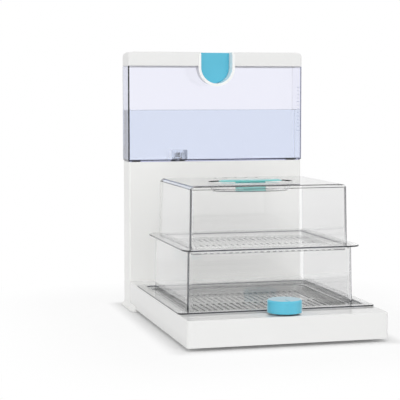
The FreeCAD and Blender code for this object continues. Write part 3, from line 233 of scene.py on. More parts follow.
def tray_edge_painted_shade(low, high, inner_share):
    """Painted-shade mask of a tray between two corners: its outer edge in full, and its other upright faces
    in part.
    """
    def mask(tree, place):
        sides = []
        for axis, first, last in (("X", low.x, high.x), ("Y", low.y, high.y)):
            limits = [(last - first) / 2 - band for band in TRAY_BAND]
            sides.append(ramp(tree, place, axis, limits, (inner_share, 1.0), about=(first + last) / 2))
        edge_shade = add_node(tree, "ShaderNodeMath", {0: sides[0], 1: sides[1]}, "Value", operation="MAXIMUM")
        return product(tree, facing(tree, "Z", TRAY_UPRIGHT, (1.0, 0.0)), edge_shade)
    return mask


# ---- materials -------------------------------------------------------------------------


def moulded_white_abs(name, colour, shade, roughness, peel_mm, peel_depth_mm):
    """Injection-moulded ABS from a polished or satin tool: a warm white with a soft clear gloss.

    The eye gets crisp edges, reflections that waver a little where the plastic shrank, and a tone
    that drifts by a hair over each face.
    """
    material, tree = new_material(name)
    flow = uneven(tree, size_mm=90.0)
    peel = uneven(tree, peel_mm, detail=3.0)
    shader = add_node(tree, "ShaderNodeBsdfPrincipled", {
        "IOR": ABS_IOR, "Base Color": between(tree, flow, colour, shade),
        "Roughness": between(tree, flow, roughness * 0.85, roughness * 1.15),
        "Normal": add_node(tree, "ShaderNodeBump", {
            "Height": peel, "Distance": peel_depth_mm * MM}, "Normal")}, "BSDF")
    add_node(tree, "ShaderNodeOutputMaterial", {"Surface": shader})
    return material


def clear_moulded_plastic(name, ior, tint, density, roughness=0.03, skin="#FFFFFF", edge_shade=None, painted_shade_mask=None,
                          haze=0.0):
    """Injection-moulded clear plastic, such as SAN or polycarbonate, from a polished tool.

    The eye sees through it, with bright glints at the rims and a tint that grows with its density
    where light runs along a wall. skin tints each face, and where the shade mask holds, each face
    is darkened towards the edge shade colour: a painted shade that stands in for the dark lines
    which bent light draws at edges and corners. haze says how much it scatters.
    """
    material, tree = new_material(name)
    wave = uneven(tree, size_mm=45.0)
    shader = add_node(tree, "ShaderNodeBsdfPrincipled", {
        "Base Color": linear(skin), "IOR": ior, "Transmission Weight": 1.0 - haze,
        "Roughness": between(tree, wave, roughness * 0.5, roughness * 1.5),
        "Normal": add_node(tree, "ShaderNodeBump", {"Height": wave, "Distance": 0.01 * MM}, "Normal"),
        "Alpha": lets_light_through(tree)})
    # painted shade: edges and corners darken towards the edge shade colour where the mask holds
    if painted_shade_mask:
        place = add_node(tree, "ShaderNodeTexCoord", output="Object")
        colour = between(tree, painted_shade_mask(tree, place), skin, edge_shade)
        tree.links.new(colour, shader.inputs["Base Color"])
    volume = add_node(tree, "ShaderNodeVolumeAbsorption", {"Color": linear(tint), "Density": density})
    add_node(tree, "ShaderNodeOutputMaterial", {
        "Surface": shader.outputs["BSDF"], "Volume": volume.outputs["Volume"]})
    return material


def plain_moulding(name, light, dark, roughness, ior=1.5, grain_mm=0.8, grain_depth_mm=0.02):
    """Plastic, rubber or ceramic from a spark-eroded mould: an even colour with a fine matt grain.

    The grain is drawn coarser than the tool's, so that it shows.
    """
    material, tree = new_material(name)
    flow = uneven(tree, size_mm=25.0)
    grain = uneven(tree, grain_mm, detail=3.0)
    shader = add_node(tree, "ShaderNodeBsdfPrincipled", {
        "IOR": ior, "Base Color": between(tree, flow, light, dark),
        "Roughness": between(tree, grain, roughness - 0.06, roughness + 0.06),
        "Normal": add_node(tree, "ShaderNodeBump", {
            "Height": grain, "Distance": grain_depth_mm * MM}, "Normal")}, "BSDF")
    add_node(tree, "ShaderNodeOutputMaterial", {"Surface": shader})
    return material


def translucent_silicone(name):
    """Cured silicone: milky, soft, with light that sinks in before it comes back."""
    material, tree = new_material(name)
    cloud = uneven(tree, size_mm=6.0)
    shader = add_node(tree, "ShaderNodeBsdfPrincipled", {
        "IOR": 1.41, "Subsurface Weight": 0.6, "Subsurface Radius": (0.004, 0.003, 0.002),
        "Subsurface Scale": 0.5, "Base Color": between(tree, cloud, "#E4E1DB", "#DAD6CE"),
        "Roughness": between(tree, cloud, 0.42, 0.52)}, "BSDF")
    add_node(tree, "ShaderNodeOutputMaterial", {"Surface": shader})
    return material


def bare_metal(name, light, dark, roughness, lay, grain_mm, grain_depth_mm):
    """Bare or plated metal, cast, drawn or turned: the eye gets a broken gloss and a faint stain.

    lay stretches the grain along the axes where it is small. The grain is drawn coarser than the
    real one, so that it shows.
    """
    material, tree = new_material(name)
    place = add_node(tree, "ShaderNodeTexCoord", output="Object")
    stretched = add_node(tree, "ShaderNodeMapping", {"Vector": place, "Scale": lay}, "Vector")
    grain = uneven(tree, grain_mm, detail=4.0, place=stretched)
    stain = uneven(tree, size_mm=14.0, place=place)
    shader = add_node(tree, "ShaderNodeBsdfPrincipled", {
        "Metallic": 1.0, "Base Color": between(tree, stain, light, dark),
        "Roughness": between(tree, grain, roughness - 0.08, roughness + 0.08),
        "Normal": add_node(tree, "ShaderNodeBump", {
            "Height": grain, "Distance": grain_depth_mm * MM}, "Normal")}, "BSDF")
    add_node(tree, "ShaderNodeOutputMaterial", {"Surface": shader})
    return material


def polished_aqua_abs(name, light, dark):
    """Polished ABS plate, evenly coloured: the eye gets a fresh turquoise with a clear reflection."""
    material, tree = new_material(name)
    flow = uneven(tree, size_mm=30.0)
    shader = add_node(tree, "ShaderNodeBsdfPrincipled", {
        "IOR": ABS_IOR, "Base Color": between(tree, flow, light, dark),
        "Roughness": between(tree, flow, 0.14, 0.2)}, "BSDF")
    add_node(tree, "ShaderNodeOutputMaterial", {"Surface": shader})
    return material


def glowing_turquoise_abs(name, light, dark):
    """Polished ABS that lets some light in: bright rims, a soft inner tone and a clear gloss."""
    material, tree = new_material(name)
    flow = uneven(tree, size_mm=12.0)
    shader = add_node(tree, "ShaderNodeBsdfPrincipled", {
        "IOR": ABS_IOR, "Subsurface Weight": 0.5, "Subsurface Radius": (0.0015, 0.004, 0.005),
        "Subsurface Scale": 1.0, "Sheen Weight": 1.0, "Sheen Roughness": 0.3,
        "Base Color": between(tree, flow, light, dark),
        "Roughness": between(tree, flow, 0.1, 0.15)}, "BSDF")
    add_node(tree, "ShaderNodeOutputMaterial", {"Surface": shader})
    return material


def still_water(name):
    """Clean tap water: clear, with a faint blue that deepens with its depth."""
    material, tree = new_material(name)
    ripple = uneven(tree, size_mm=60.0)
    shader = add_node(tree, "ShaderNodeBsdfPrincipled", {
        "Base Color": linear("#EEF3F9"), "IOR": WATER_IOR, "Transmission Weight": 1.0, "Roughness": 0.0,
        "Normal": add_node(tree, "ShaderNodeBump", {"Height": ripple, "Distance": 0.01 * MM}, "Normal"),
        "Alpha": lets_light_through(tree)}, "BSDF")
    volume = add_node(tree, "ShaderNodeVolumeAbsorption", {
        "Color": linear("#BCD8F2"), "Density": 3.0}, "Volume")
    add_node(tree, "ShaderNodeOutputMaterial", {"Surface": shader, "Volume": volume})
    return material


def printed_ink(name):
    """Pad-printed ink: a dull grey blue, a little uneven where the pad lifted off."""
    material, tree = new_material(name)
    dots = uneven(tree, size_mm=0.6)
    shader = add_node(tree, "ShaderNodeBsdfPrincipled", {
        "IOR": 1.48, "Base Color": between(tree, dots, "#8F9BB8", "#7F8CAD"),
        "Roughness": between(tree, dots, 0.5, 0.65)}, "BSDF")
    add_node(tree, "ShaderNodeOutputMaterial", {"Surface": shader})
    return material


def floor_paper(name, half_width, half_depth, contact, reach, lift):
    """Pale paper that keeps a footprint's shadow and fades to pure white away from it."""
    material, tree = new_material(name)
    place = add_node(tree, "ShaderNodeNewGeometry", output="Position")
    # distance from the footprint
    off = add_node(tree, "ShaderNodeVectorMath", {0: place}, "Vector", operation="ABSOLUTE")
    beside = add_node(tree, "ShaderNodeVectorMath", {
        0: off, 1: (half_width, half_depth, 0.0)}, "Vector", operation="SUBTRACT")
    outside = add_node(tree, "ShaderNodeVectorMath", {
        0: beside, 1: (0.0, 0.0, 0.0)}, "Vector", operation="MAXIMUM")
    away = add_node(tree, "ShaderNodeVectorMath", {0: outside}, "Value", operation="LENGTH")
    # the floor is lifted over the contact shadow first, and from there on to white
    near, far = [add_node(tree, "ShaderNodeMapRange", {
        "Value": away, "From Min": start, "From Max": end, "To Min": low, "To Max": high}, "Result",
        interpolation_type="SMOOTHSTEP")
        for start, end, low, high in ((0.0, contact, CONTACT_LIFT, lift), (contact, reach, 0.0, 1.0 - lift))]
    white_share = add_node(tree, "ShaderNodeMath", {0: near, 1: far}, "Value", operation="ADD")
    camera_ray = add_node(tree, "ShaderNodeLightPath", output="Is Camera Ray")
    seen = add_node(tree, "ShaderNodeMath", {
        0: camera_ray, 1: mirrored_or_through(tree)}, "Value", operation="MAXIMUM")
    fibre = uneven(tree, size_mm=3.0, detail=3.0, place=place)
    paper = add_node(tree, "ShaderNodeBsdfPrincipled", {
        "IOR": 1.4, "Base Color": between(tree, fibre, "#FBFBFB", "#F8F8F8"),
        "Roughness": between(tree, fibre, 0.6, 0.75)}, "BSDF")
    white = add_node(tree, "ShaderNodeEmission", {"Color": WHITE, "Strength": 1.0}, "Emission")
    mixed = add_node(tree, "ShaderNodeMixShader", {
        0: product(tree, white_share, seen), 1: paper, 2: white}, "Shader")
    add_node(tree, "ShaderNodeOutputMaterial", {"Surface": mixed})
    return material


# ---- sizes and colours that a user would change ----------------------------------------


class WaterSettings(bpy.types.PropertyGroup):
    level: FloatProperty(
        name="Level", description="Height of the water's surface", default=0.3076, unit="LENGTH")
    wall: FloatProperty(
        name="Tank wall", description="Thickness of the tank's walls", default=0.0024, unit="LENGTH")
    floor: FloatProperty(
        name="Tank floor", description="Thickness of the tank's floor", default=0.003, unit="LENGTH")
    gap: FloatProperty(
        name="Gap", description="Between water and wall", default=0.00012, unit="LENGTH")
    corner: FloatProperty(
        name="Corner", description="Radius of the water's upright edges", default=0.0006, unit="LENGTH")
    valve_travel: FloatProperty(
        name="Valve travel", description="Height kept clear above the valve", default=0.003, unit="LENGTH")
    climb: FloatProperty(
        name="Climb", description="How far the water climbs the walls", default=0.0004, unit="LENGTH")
    climb_width: FloatProperty(
        name="Climb width", description="Width of the climbing edge", default=0.0015, unit="LENGTH")


class SpringSettings(bpy.types.PropertyGroup):
    wire: FloatProperty(
        name="Wire", description="Thickness of the spring's wire", default=0.0009, unit="LENGTH")
    turns: IntProperty(
        name="Turns", description="Turns of the spring", default=3, min=1)
    flat: FloatProperty(
        name="Flat ends", description="Share of the wire that lies flat at each end", default=0.11,
        min=0.0, max=0.4)


class ScaleSettings(bpy.types.PropertyGroup):
    side: FloatProperty(
        name="Side", description="Middle of the marks, sideways", default=0.1348, unit="LENGTH")
    low: FloatProperty(
        name="Lowest mark", description="Height of the lowest mark", default=0.275, unit="LENGTH")
    high: FloatProperty(
        name="Highest mark", description="Height of the highest mark", default=0.342, unit="LENGTH")
    pitch: FloatProperty(
        name="Pitch", description="From mark to mark", default=0.0057, unit="LENGTH")
    length: FloatProperty(
        name="Mark length", description="Length of a short mark", default=0.0026, unit="LENGTH")
    thickness: FloatProperty(
        name="Line", description="Thickness of a printed line", default=0.0006, unit="LENGTH")


class StageSettings(bpy.types.PropertyGroup):
    sky: FloatProperty(
        name="Sky", description="Light from the horizon on the object", default=0.6, min=0.0)
    zenith: FloatProperty(
        name="Zenith", description="Light from straight above", default=0.5, min=0.0)
    front: FloatProperty(
        name="Front", description="Light from the front against that from the back", default=1.3, min=0.0)
    side_dim: FloatProperty(
        name="Dim sides", description="How dim the room's sides look in clear pieces", default=0.5,
        min=0.0, max=1.0)
    front_room: FloatProperty(
        name="Room in front", description="How bright the room mirrors in from the front", default=1.0,
        min=0.0, max=1.0)
    key: FloatProperty(
        name="Key", description="Strength of the front lamp", default=20.5, min=0.0, unit="POWER")
    strip: FloatProperty(
        name="Strip", description="Strength of the upright lamp on the left", default=6.0, min=0.0,
        unit="POWER")
    floor_size: FloatProperty(
        name="Floor", description="Width of the floor", default=3.4, unit="LENGTH")
    floor_lift: FloatProperty(
        name="Floor lift", description="How far the floor beside the object is lifted to white",
        default=0.83, min=0.0, max=1.0)
    floor_contact: FloatProperty(
        name="Contact", description="Width of the dark shadow line round the object", default=0.024,
        unit="LENGTH")
    floor_reach: FloatProperty(
        name="Fade reach", description="Distance from the object at which the floor is white",
        default=0.26, unit="LENGTH")
    camera_place: FloatVectorProperty(
        name="Camera", description="Where the camera stands", default=(-0.5543, -1.8375, 0.3383),
        subtype="TRANSLATION")
    camera_pitch: FloatProperty(
        name="Pitch", description="Downward tilt of the camera", default=math.radians(4.4),
        subtype="ANGLE")
    camera_yaw: FloatProperty(
        name="Yaw", description="Turn of the camera to the right", default=math.radians(15.0),
        subtype="ANGLE")
    lens: FloatProperty(
        name="Lens", description="Focal length in mm on a 36 mm sensor", default=118.66)


class FinishSettings(bpy.types.PropertyGroup):
    deck_roughness: FloatProperty(
        name="Deck", description="Roughness of the polished base", default=0.06, min=0.0)
    tower_roughness: FloatProperty(
        name="Tower", description="Roughness of the tower and lid", default=0.33, min=0.0)
    tank_tint: StringProperty(
        name="Tank tint", description="Tint of the tank's plastic", default="#CBD0EC")
    cover_tint: StringProperty(
        name="Cover tint", description="Tint of the clear boxes", default="#DCDCE1")
    smoke_tint: StringProperty(
        name="Tray tint", description="Tint of the smoky trays", default="#BCBFBE")
    aqua_tint: StringProperty(
        name="Aqua tint", description="Colour of the timer knob", default="#62C6E0")
    teal_tint: StringProperty(
        name="Teal tint", description="Colour of the lid's handle", default="#78D8D4")
    base_white: StringProperty(
        name="Base white", description="Colour of the base and the tank lid", default="#EDEDEC")
    # the tower's white is drawn lighter than the base's: painted light that makes up for the light the boxes
    # keep off it
    tower_white_with_painted_light: StringProperty(
        name="Tower white", description="Colour of the tower", default="#F8F8F6")


# ---- dressing the frame's nodes --------------------------------------------------------


def dress(material, *node_names):
    """Puts one material on whole nodes."""
    for name in node_names:
        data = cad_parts[name].data
        data.materials.clear()
        data.materials.append(material)


class STEAMER_OT_housings(bpy.types.Operator):
    """Dresses the white mouldings: base, stand, tower, tank lid and its finger pocket"""
    bl_idname = "steamer.housings"
    bl_label = "Dress the white housings"

    def execute(self, context):
        finish = context.scene.steamer_finish
        polished, satin = finish.deck_roughness, finish.tower_roughness
        dress(moulded_white_abs("polished_white_abs", finish.base_white, "#EBEBEA", polished,
                                peel_mm=14.0, peel_depth_mm=0.006), "base_housing")
        dress(moulded_white_abs("satin_white_abs", finish.base_white, "#EBEBEA", satin,
                                peel_mm=1.6, peel_depth_mm=0.004), "base_bottom", "tank_lid")
        # tower and stand: white ABS drawn lighter than the base's, with painted light in its colour
        dress(moulded_white_abs("white_abs_with_painted_light", finish.tower_white_with_painted_light, "#F6F6F4", satin,
                                peel_mm=1.6, peel_depth_mm=0.004), "stand", "tower_front", "tower_rear")
        dress(moulded_white_abs("polished_bright_abs", "#FBFBFA", "#F9F9F8", polished,
                                peel_mm=1.6, peel_depth_mm=0.002), "lid_pocket", "pocket_back", "pocket_rim")
        return {"FINISHED"}


class STEAMER_OT_clear_pieces(bpy.types.Operator):
    """Dresses the clear mouldings: water tank, boxes, drip tray and the smoky trays"""
    bl_idname = "steamer.clear_pieces"
    bl_label = "Dress the clear pieces"

    def execute(self, context):
        finish = context.scene.steamer_finish
        # painted shade: the tank's end walls darken towards a grey blue
        dress(clear_moulded_plastic("clear_san", SAN_IOR, finish.tank_tint, density=34.0, skin="#FAFAFE",
                                    edge_shade="#BBC0D4", painted_shade_mask=tank_wall_painted_shade), "water_tank", "tank_lugs")
        # water on both sides of the valve's walls lets them bend light less than air does
        dress(clear_moulded_plastic("clear_san_under_water", SAN_IOR / WATER_IOR, finish.tank_tint,
                                    density=1.0), "valve_cage")
        # painted shade: the boxes' corners and end walls darken towards near black
        dress(clear_moulded_plastic("clear_polycarbonate", POLYCARBONATE_IOR, finish.cover_tint,
                                    density=12.0, edge_shade="#3A3C44", painted_shade_mask=box_corner_painted_shade),
              "upper_lid", "lower_box")
        dress(clear_moulded_plastic("clear_polycarbonate_basin", POLYCARBONATE_IOR, finish.cover_tint,
                                    density=12.0), "drip_tray")
        # painted shade: the trays' outer edges darken towards near black, and the lower tray's other upright
        # faces a little
        for name, density, inner_share, haze in (("lower_tray", 50.0, 0.12, 0.05),
                                                 ("middle_tray", 20.0, 0.0, 0.12)):
            dress(clear_moulded_plastic("smoke_polycarbonate_" + name, POLYCARBONATE_IOR, finish.smoke_tint,
                                        density, roughness=0.06, edge_shade="#2E3038",
                                        painted_shade_mask=tray_edge_painted_shade(*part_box(name), inner_share), haze=haze), name)
        return {"FINISHED"}


class STEAMER_OT_aqua_pieces(bpy.types.Operator):
    """Dresses the turquoise pieces: timer knob, lid handle and the pocket's liner"""
    bl_idname = "steamer.aqua_pieces"
    bl_label = "Dress the turquoise pieces"

    def execute(self, context):
        finish = context.scene.steamer_finish
        dress(glowing_turquoise_abs("polished_turquoise_abs", finish.aqua_tint, "#58BEDA"), "timer_knob")
        dress(glowing_turquoise_abs("polished_teal_abs", finish.teal_tint, "#6CD0CC"), "lid_handle")
        dress(polished_aqua_abs("polished_aqua_abs", "#5FC3DE", "#57BDD9"), "grip_liner")
        return {"FINISHED"}


class STEAMER_OT_inner_pieces(bpy.types.Operator):
    """Dresses what is inside or underneath: boiler, steam way, timer, valve, screws and feet"""
    bl_idname = "steamer.inner_pieces"
    bl_label = "Dress the inner pieces"

    def execute(self, context):
        dress(plain_moulding("natural_polypropylene", "#D4D5D6", "#C8CACB", roughness=0.5),
              "tank_seat", "steam_duct", "steam_nozzle", "terminal_block")
        dress(plain_moulding("milky_polypropylene", "#FAFBFD", "#F5F7FB", roughness=0.4), "valve_plunger")
        dress(plain_moulding("black_glass_filled_nylon", "#35363A", "#2C2D30", roughness=0.55), "timer_body")
        dress(plain_moulding("grey_nitrile_rubber", "#5A5C5F", "#505255", roughness=0.75, ior=1.52,
                             grain_mm=0.5, grain_depth_mm=0.05), "rubber_feet", "cord_gland")
        dress(plain_moulding("white_steatite", "#E2DFD2", "#D8D5C8", roughness=0.45, ior=1.6),
              "thermal_fuse")
        dress(translucent_silicone("cured_silicone"),
              "seat_seal", "boiler_seal", "water_hose", "nozzle_seal", "valve_washer")
        dress(bare_metal("cast_aluminium", "#BDBEBF", "#A9ABAD", roughness=0.5, lay=CAST_LAY,
                         grain_mm=1.2, grain_depth_mm=0.06), "boiler", "boiler_cover")
        dress(bare_metal("oxidised_steel_tube", "#8A8578", "#6F6C66", roughness=0.42, lay=(0.1, 1.0, 1.0),
                         grain_mm=0.6, grain_depth_mm=0.02), "heating_tube")
        dress(bare_metal("zinc_plated_steel", "#C9CACB", "#B9BBBD", roughness=0.3, lay=(1.0, 0.15, 1.0),
                         grain_mm=0.8, grain_depth_mm=0.01),
              "base_screws", "stand_screws", "rear_screws", "boiler_screws", "timer_screws",
              "handle_screws", "boiler_bracket", "thermostat", "hose_clips", "valve_spring")
        dress(bare_metal("turned_brass", "#D9B978", "#C7A566", roughness=0.28, lay=(1.0, 1.0, 0.1),
                         grain_mm=0.5, grain_depth_mm=0.01), "timer_shaft")
        return {"FINISHED"}


# ---- pieces of the scene ---------------------------------------------------------------

CORNER_STEPS = 4                    # facets of a round corner
MENISCUS_STEPS = 6                  # facets of the curve at the water's edge
PLUG_DEPTH = 2 * MM                 # how far the valve's room reaches below the water
STEPS_PER_TURN = 24                 # facets of a turn of the spring
WIRE_SIDES = 8
INK_THICKNESS = 0.04 * MM
MARKS_PER_LONG_ONE = 4
LONG_MARK = 1.8                     # length of a long mark against a short one
MARK_ROUNDING = 0.3                 # radius of a mark's corners against its thickness


def rounded_loop(x0, x1, y0, y1, radius):
    """Points of a rectangle with round corners, anticlockwise from above."""
    spots = []
    corners = [(x1 - radius, y0 + radius, -90), (x1 - radius, y1 - radius, 0),
               (x0 + radius, y1 - radius, 90), (x0 + radius, y0 + radius, 180)]
    for cx, cy, start in corners:
        for step in range(CORNER_STEPS + 1):
            a = math.radians(start + 90 * step / CORNER_STEPS)
            spots.append((cx + radius * math.cos(a), cy + radius * math.sin(a)))
    return spots


def level_loop(low, high, inset, radius, z):
    """Round-cornered loop at one height, drawn in from the sides of a box."""
    plan = rounded_loop(low.x + inset, high.x - inset, low.y + inset, high.y - inset, radius)
    return [(x, y, z) for x, y in plan]


def stacked_loops(bm, loops):
    """Skin over closed loops of points, each as long as the first, with both ends closed."""
    rings = [[bm.verts.new(spot) for spot in loop] for loop in loops]
    count = len(rings[0])
    for lower, upper in zip(rings, rings[1:]):
        for index in range(count):
            following = (index + 1) % count
            bm.faces.new((lower[index], lower[following], upper[following], upper[index]))
    bm.faces.new(list(reversed(rings[0])))
    bm.faces.new(rings[-1])


def mesh_piece(name, mesh_builder, material):
    """New object from a bmesh, smooth-shaded except at its sharp edges."""
    bm = bmesh.new()
    mesh_builder(bm)
    bmesh.ops.recalc_face_normals(bm, faces=bm.faces)
    mesh = bpy.data.meshes.new(name)
    bm.to_mesh(mesh)
    bm.free()
    mesh.materials.append(material)
    mesh.shade_smooth()
    mesh.set_sharp_from_angle(angle=SHARP_ANGLE)
    piece = bpy.data.objects.new(name, mesh)
    bpy.context.scene.collection.objects.link(piece)
    return piece


def cut_away(piece, plug):
    """Takes a plug's shape out of a piece's mesh, and the plug out of the scene."""
    cut = piece.modifiers.new("cut", "BOOLEAN")
    cut.operation = "DIFFERENCE"
    cut.solver = "EXACT"
    cut.object = plug
    bpy.context.view_layer.update()
    graph = bpy.context.evaluated_depsgraph_get()
    shape = bpy.data.meshes.new_from_object(piece.evaluated_get(graph))
    piece.modifiers.clear()
    piece.data = shape
    bpy.data.objects.remove(plug)


class STEAMER_OT_water(bpy.types.Operator):
    """Fills the tank to its level, with a meniscus that climbs the walls and room for the valve"""
    bl_idname = "steamer.water"
    bl_label = "Fill the tank"

    def execute(self, context):
        water = context.scene.steamer_water
        inset = water.wall + water.gap
        floor = TANK_LOW.z + water.floor + water.gap

        def build(bm):
            loops = [level_loop(TANK_LOW, TANK_HIGH, inset, water.corner, z)
                     for z in (floor, water.level + water.climb)]
            # the surface dips from the wall to the level in a curve
            for step in range(1, MENISCUS_STEPS + 1):
                share = step / MENISCUS_STEPS
                inward = inset + water.climb_width * share
                z = water.level + water.climb * (1 - share) ** 3
                loops.append(level_loop(TANK_LOW, TANK_HIGH, inward, water.corner, z))
            stacked_loops(bm, loops)

        def build_plug(bm):
            top = CAGE_HIGH.z + water.valve_travel + water.gap
            stacked_loops(bm, [level_loop(CAGE_LOW, CAGE_HIGH, -water.gap, water.corner, z)
                               for z in (floor - PLUG_DEPTH, top)])

        piece = mesh_piece("tank_water", build, still_water("still_water"))
        cut_away(piece, mesh_piece("cage_room", build_plug, piece.data.materials[0]))
        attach(piece, "tank")
        return {"FINISHED"}


class STEAMER_OT_valve_spring(bpy.types.Operator):
    """Winds the valve's spring from round wire"""
    bl_idname = "steamer.valve_spring"
    bl_label = "Wind the valve's spring"

    def execute(self, context):
        spring = context.scene.steamer_spring
        middle = (SPRING_LOW + SPRING_HIGH) / 2
        wire = spring.wire / 2
        coil = (SPRING_HIGH.x - SPRING_LOW.x) / 2 - wire
        height = SPRING_HIGH.z - SPRING_LOW.z

        def build(bm):
            loops = []
            steps = STEPS_PER_TURN * spring.turns
            for step in range(steps + 1):
                share = step / steps
                turn = 2 * math.pi * spring.turns * share
                # the wire climbs only between its two flat ends
                climbed = min(max((share - spring.flat) / (1 - 2 * spring.flat), 0.0), 1.0)
                z = SPRING_LOW.z + wire + (height - 2 * wire) * climbed
                loop = []
                for side in range(WIRE_SIDES):
                    a = 2 * math.pi * side / WIRE_SIDES
                    out = coil + wire * math.cos(a)
                    loop.append((middle.x + out * math.cos(turn), middle.y + out * math.sin(turn),
                                 z + wire * math.sin(a)))
                loops.append(loop)
            stacked_loops(bm, loops)

        steel = bare_metal("drawn_spring_steel", "#C4C6C8", "#B2B4B6", roughness=0.26, lay=(1.0, 1.0, 0.2),
                           grain_mm=0.4, grain_depth_mm=0.005)
        piece = mesh_piece("spring_coil", build, steel)
        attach(piece, "tank")
        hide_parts("valve_spring")
        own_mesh(piece)
        return {"FINISHED"}


class STEAMER_OT_tank_scale(bpy.types.Operator):
    """Prints the level marks on the tank's front"""
    bl_idname = "steamer.tank_scale"
    bl_label = "Print the level marks"

    def execute(self, context):
        marks = context.scene.steamer_scale
        front = TANK_LOW.y

        def build(bm):
            count = int(round((marks.high - marks.low) / marks.pitch)) + 1
            for number in range(count):
                z = marks.low + number * marks.pitch
                half = marks.length / 2 * (1.0 if number % MARKS_PER_LONG_ONE else LONG_MARK)
                loop = rounded_loop(marks.side - half, marks.side + half, z - marks.thickness / 2,
                                    z + marks.thickness / 2, marks.thickness * MARK_ROUNDING)
                stacked_loops(bm, [[(x, y, height) for x, height in loop]
                                   for y in (front, front - INK_THICKNESS)])

        piece = mesh_piece("tank_scale", build, printed_ink("pad_printed_ink"))
        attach(piece, "tank")
        return {"FINISHED"}


# ---- floor, light and camera -----------------------------------------------------------

CONTACT_LIFT = 0.1                  # how far the floor right at the footprint is lifted to white

# the room, by direction from the object: share of an axis
ROOM_SIDE = (0.6, 0.92)             # its sides begin to dim here, left and right, and are dim here
ROOM_TOP = (0.35, 0.75)             # and end here, above and below
ROOM_FRONT = (-0.6, 0.0)            # its front lies before this

# lamps: width, height, and place from the middle of the object, in metres
FRONT_SOFTBOX = (2.2, 1.4, Vector((-0.2, -1.9, 1.5)))
LEFT_STRIP = (0.3, 1.5, Vector((-2.3, -0.5, 0.0)))

SENSOR_WIDTH = 36.0                 # mm
PICTURE_WIDTH = 400                 # pixels
PICTURE_SHIFT = (-4.7, -8.1)        # how far the picture's middle lies off the lens axis, in pixels
VIEW_DEPTH = 50.0                   # metres


def add_softbox(name, power, width, height, place, target):
    """Rectangular soft lamp that looks at a target."""
    lamp = bpy.data.lights.new(name, "AREA")
    lamp.energy = power
    lamp.shape = "RECTANGLE"
    lamp.size, lamp.size_y = width, height
    softbox = bpy.data.objects.new(name, lamp)
    softbox.location = place
    softbox.rotation_euler = (target - place).to_track_quat("-Z", "Y").to_euler()
    bpy.context.scene.collection.objects.link(softbox)


def soft_studio(stage):
    """World that looks white to the camera, lights matt faces softly and shows clear ones a room."""
    world = bpy.data.worlds.new("soft_studio")
    world.use_nodes = True
    tree = world.node_tree
    tree.nodes.clear()
    direction = add_node(tree, "ShaderNodeTexCoord", output="Generated")
    # what lights the matt faces: more from the front than from the back
    light = product(tree, ramp(tree, direction, "Z", (0.0, 1.0), (stage.sky, stage.zenith)),
                    ramp(tree, direction, "Y", (-1.0, 1.0), (stage.front, 1.0)))
    # what mirrors in and shows through the clear pieces: white, with a dim room at both sides
    dim = product(tree, ramp(tree, direction, "X", ROOM_SIDE, about=0.0),
                  ramp(tree, direction, "Z", ROOM_TOP, (1.0, 0.0), about=0.0), stage.side_dim)
    bright = add_node(tree, "ShaderNodeMath", {0: 1.0, 1: dim}, "Value", operation="SUBTRACT")
    room = product(tree, bright, ramp(tree, direction, "Y", ROOM_FRONT, (stage.front_room, 1.0)))
    on_object = add_node(tree, "ShaderNodeMix", {
        "Factor": mirrored_or_through(tree), "A": light, "B": room}, "Result", data_type="FLOAT")
    camera_ray = add_node(tree, "ShaderNodeLightPath", output="Is Camera Ray")
    strength = add_node(tree, "ShaderNodeMix", {
        "Factor": camera_ray, "A": on_object, "B": 1.0}, "Result", data_type="FLOAT")
    background = add_node(tree, "ShaderNodeBackground", {"Color": WHITE, "Strength": strength}, "Background")
    add_node(tree, "ShaderNodeOutputWorld", {"Surface": background})
    return world


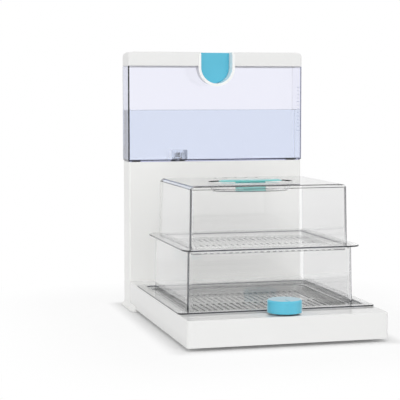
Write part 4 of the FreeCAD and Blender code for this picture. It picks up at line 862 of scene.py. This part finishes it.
class STEAMER_OT_stage(bpy.types.Operator):
    """Sets floor, light and camera"""
    bl_idname = "steamer.stage"
    bl_label = "Set the stage"

    def execute(self, context):
        stage = context.scene.steamer_stage
        scene = context.scene
        low, high = CAD_BOX
        centre = (low + high) / 2

        def build_floor(bm):
            half = stage.floor_size / 2
            corners = [(-half, -half), (half, -half), (half, half), (-half, half)]
            bm.faces.new([bm.verts.new((x, y, low.z)) for x, y in corners])

        paper = floor_paper("pale_paper", high.x, high.y, stage.floor_contact, stage.floor_reach,
                            stage.floor_lift)
        mesh_piece("floor", build_floor, paper)
        scene.world = soft_studio(stage)
        for name, power, (width, height, away) in (("front_softbox", stage.key, FRONT_SOFTBOX),
                                                   ("left_strip", stage.strip, LEFT_STRIP)):
            add_softbox(name, power, width, height, centre + away, centre)

        camera = bpy.data.cameras.new("camera")
        camera.sensor_width = SENSOR_WIDTH
        camera.lens = stage.lens
        camera.shift_x, camera.shift_y = (shift / PICTURE_WIDTH for shift in PICTURE_SHIFT)
        camera.clip_end = VIEW_DEPTH
        view = bpy.data.objects.new("camera", camera)
        view.location = stage.camera_place
        view.rotation_euler = (math.pi / 2 - stage.camera_pitch, 0.0, -stage.camera_yaw)
        scene.collection.objects.link(view)
        scene.camera = view
        scene.view_settings.view_transform = "Standard"
        return {"FINISHED"}


# ---- add-on ----------------------------------------------------------------------------

OPERATORS = (STEAMER_OT_housings, STEAMER_OT_clear_pieces, STEAMER_OT_aqua_pieces, STEAMER_OT_inner_pieces,
             STEAMER_OT_water, STEAMER_OT_valve_spring, STEAMER_OT_tank_scale, STEAMER_OT_stage)
SETTINGS = (("steamer_water", WaterSettings), ("steamer_spring", SpringSettings),
            ("steamer_scale", ScaleSettings), ("steamer_stage", StageSettings),
            ("steamer_finish", FinishSettings))


class STEAMER_PT_panel(bpy.types.Panel):
    """The steamer's sizes and its steps"""
    bl_idname = "STEAMER_PT_panel"
    bl_label = "Electric food steamer"
    bl_space_type = "VIEW_3D"
    bl_region_type = "UI"
    bl_category = "Steamer"

    def draw(self, context):
        for attribute, group in SETTINGS:
            column = self.layout.column(align=True)
            values = getattr(context.scene, attribute)
            for key in group.__annotations__:
                column.prop(values, key)
        for operator in OPERATORS:
            self.layout.operator(operator.bl_idname)


def register():
    for attribute, group in SETTINGS:
        bpy.utils.register_class(group)
        setattr(bpy.types.Scene, attribute, PointerProperty(type=group))
    for operator in OPERATORS:
        bpy.utils.register_class(operator)
    bpy.utils.register_class(STEAMER_PT_panel)


def unregister():
    bpy.utils.unregister_class(STEAMER_PT_panel)
    for operator in reversed(OPERATORS):
        bpy.utils.unregister_class(operator)
    for attribute, group in reversed(SETTINGS):
        delattr(bpy.types.Scene, attribute)
        bpy.utils.unregister_class(group)


def main():
    register()
    for operator in OPERATORS:
        package, name = operator.bl_idname.split(".")
        getattr(getattr(bpy.ops, package), name)()


if __name__ == "__main__":
    main()
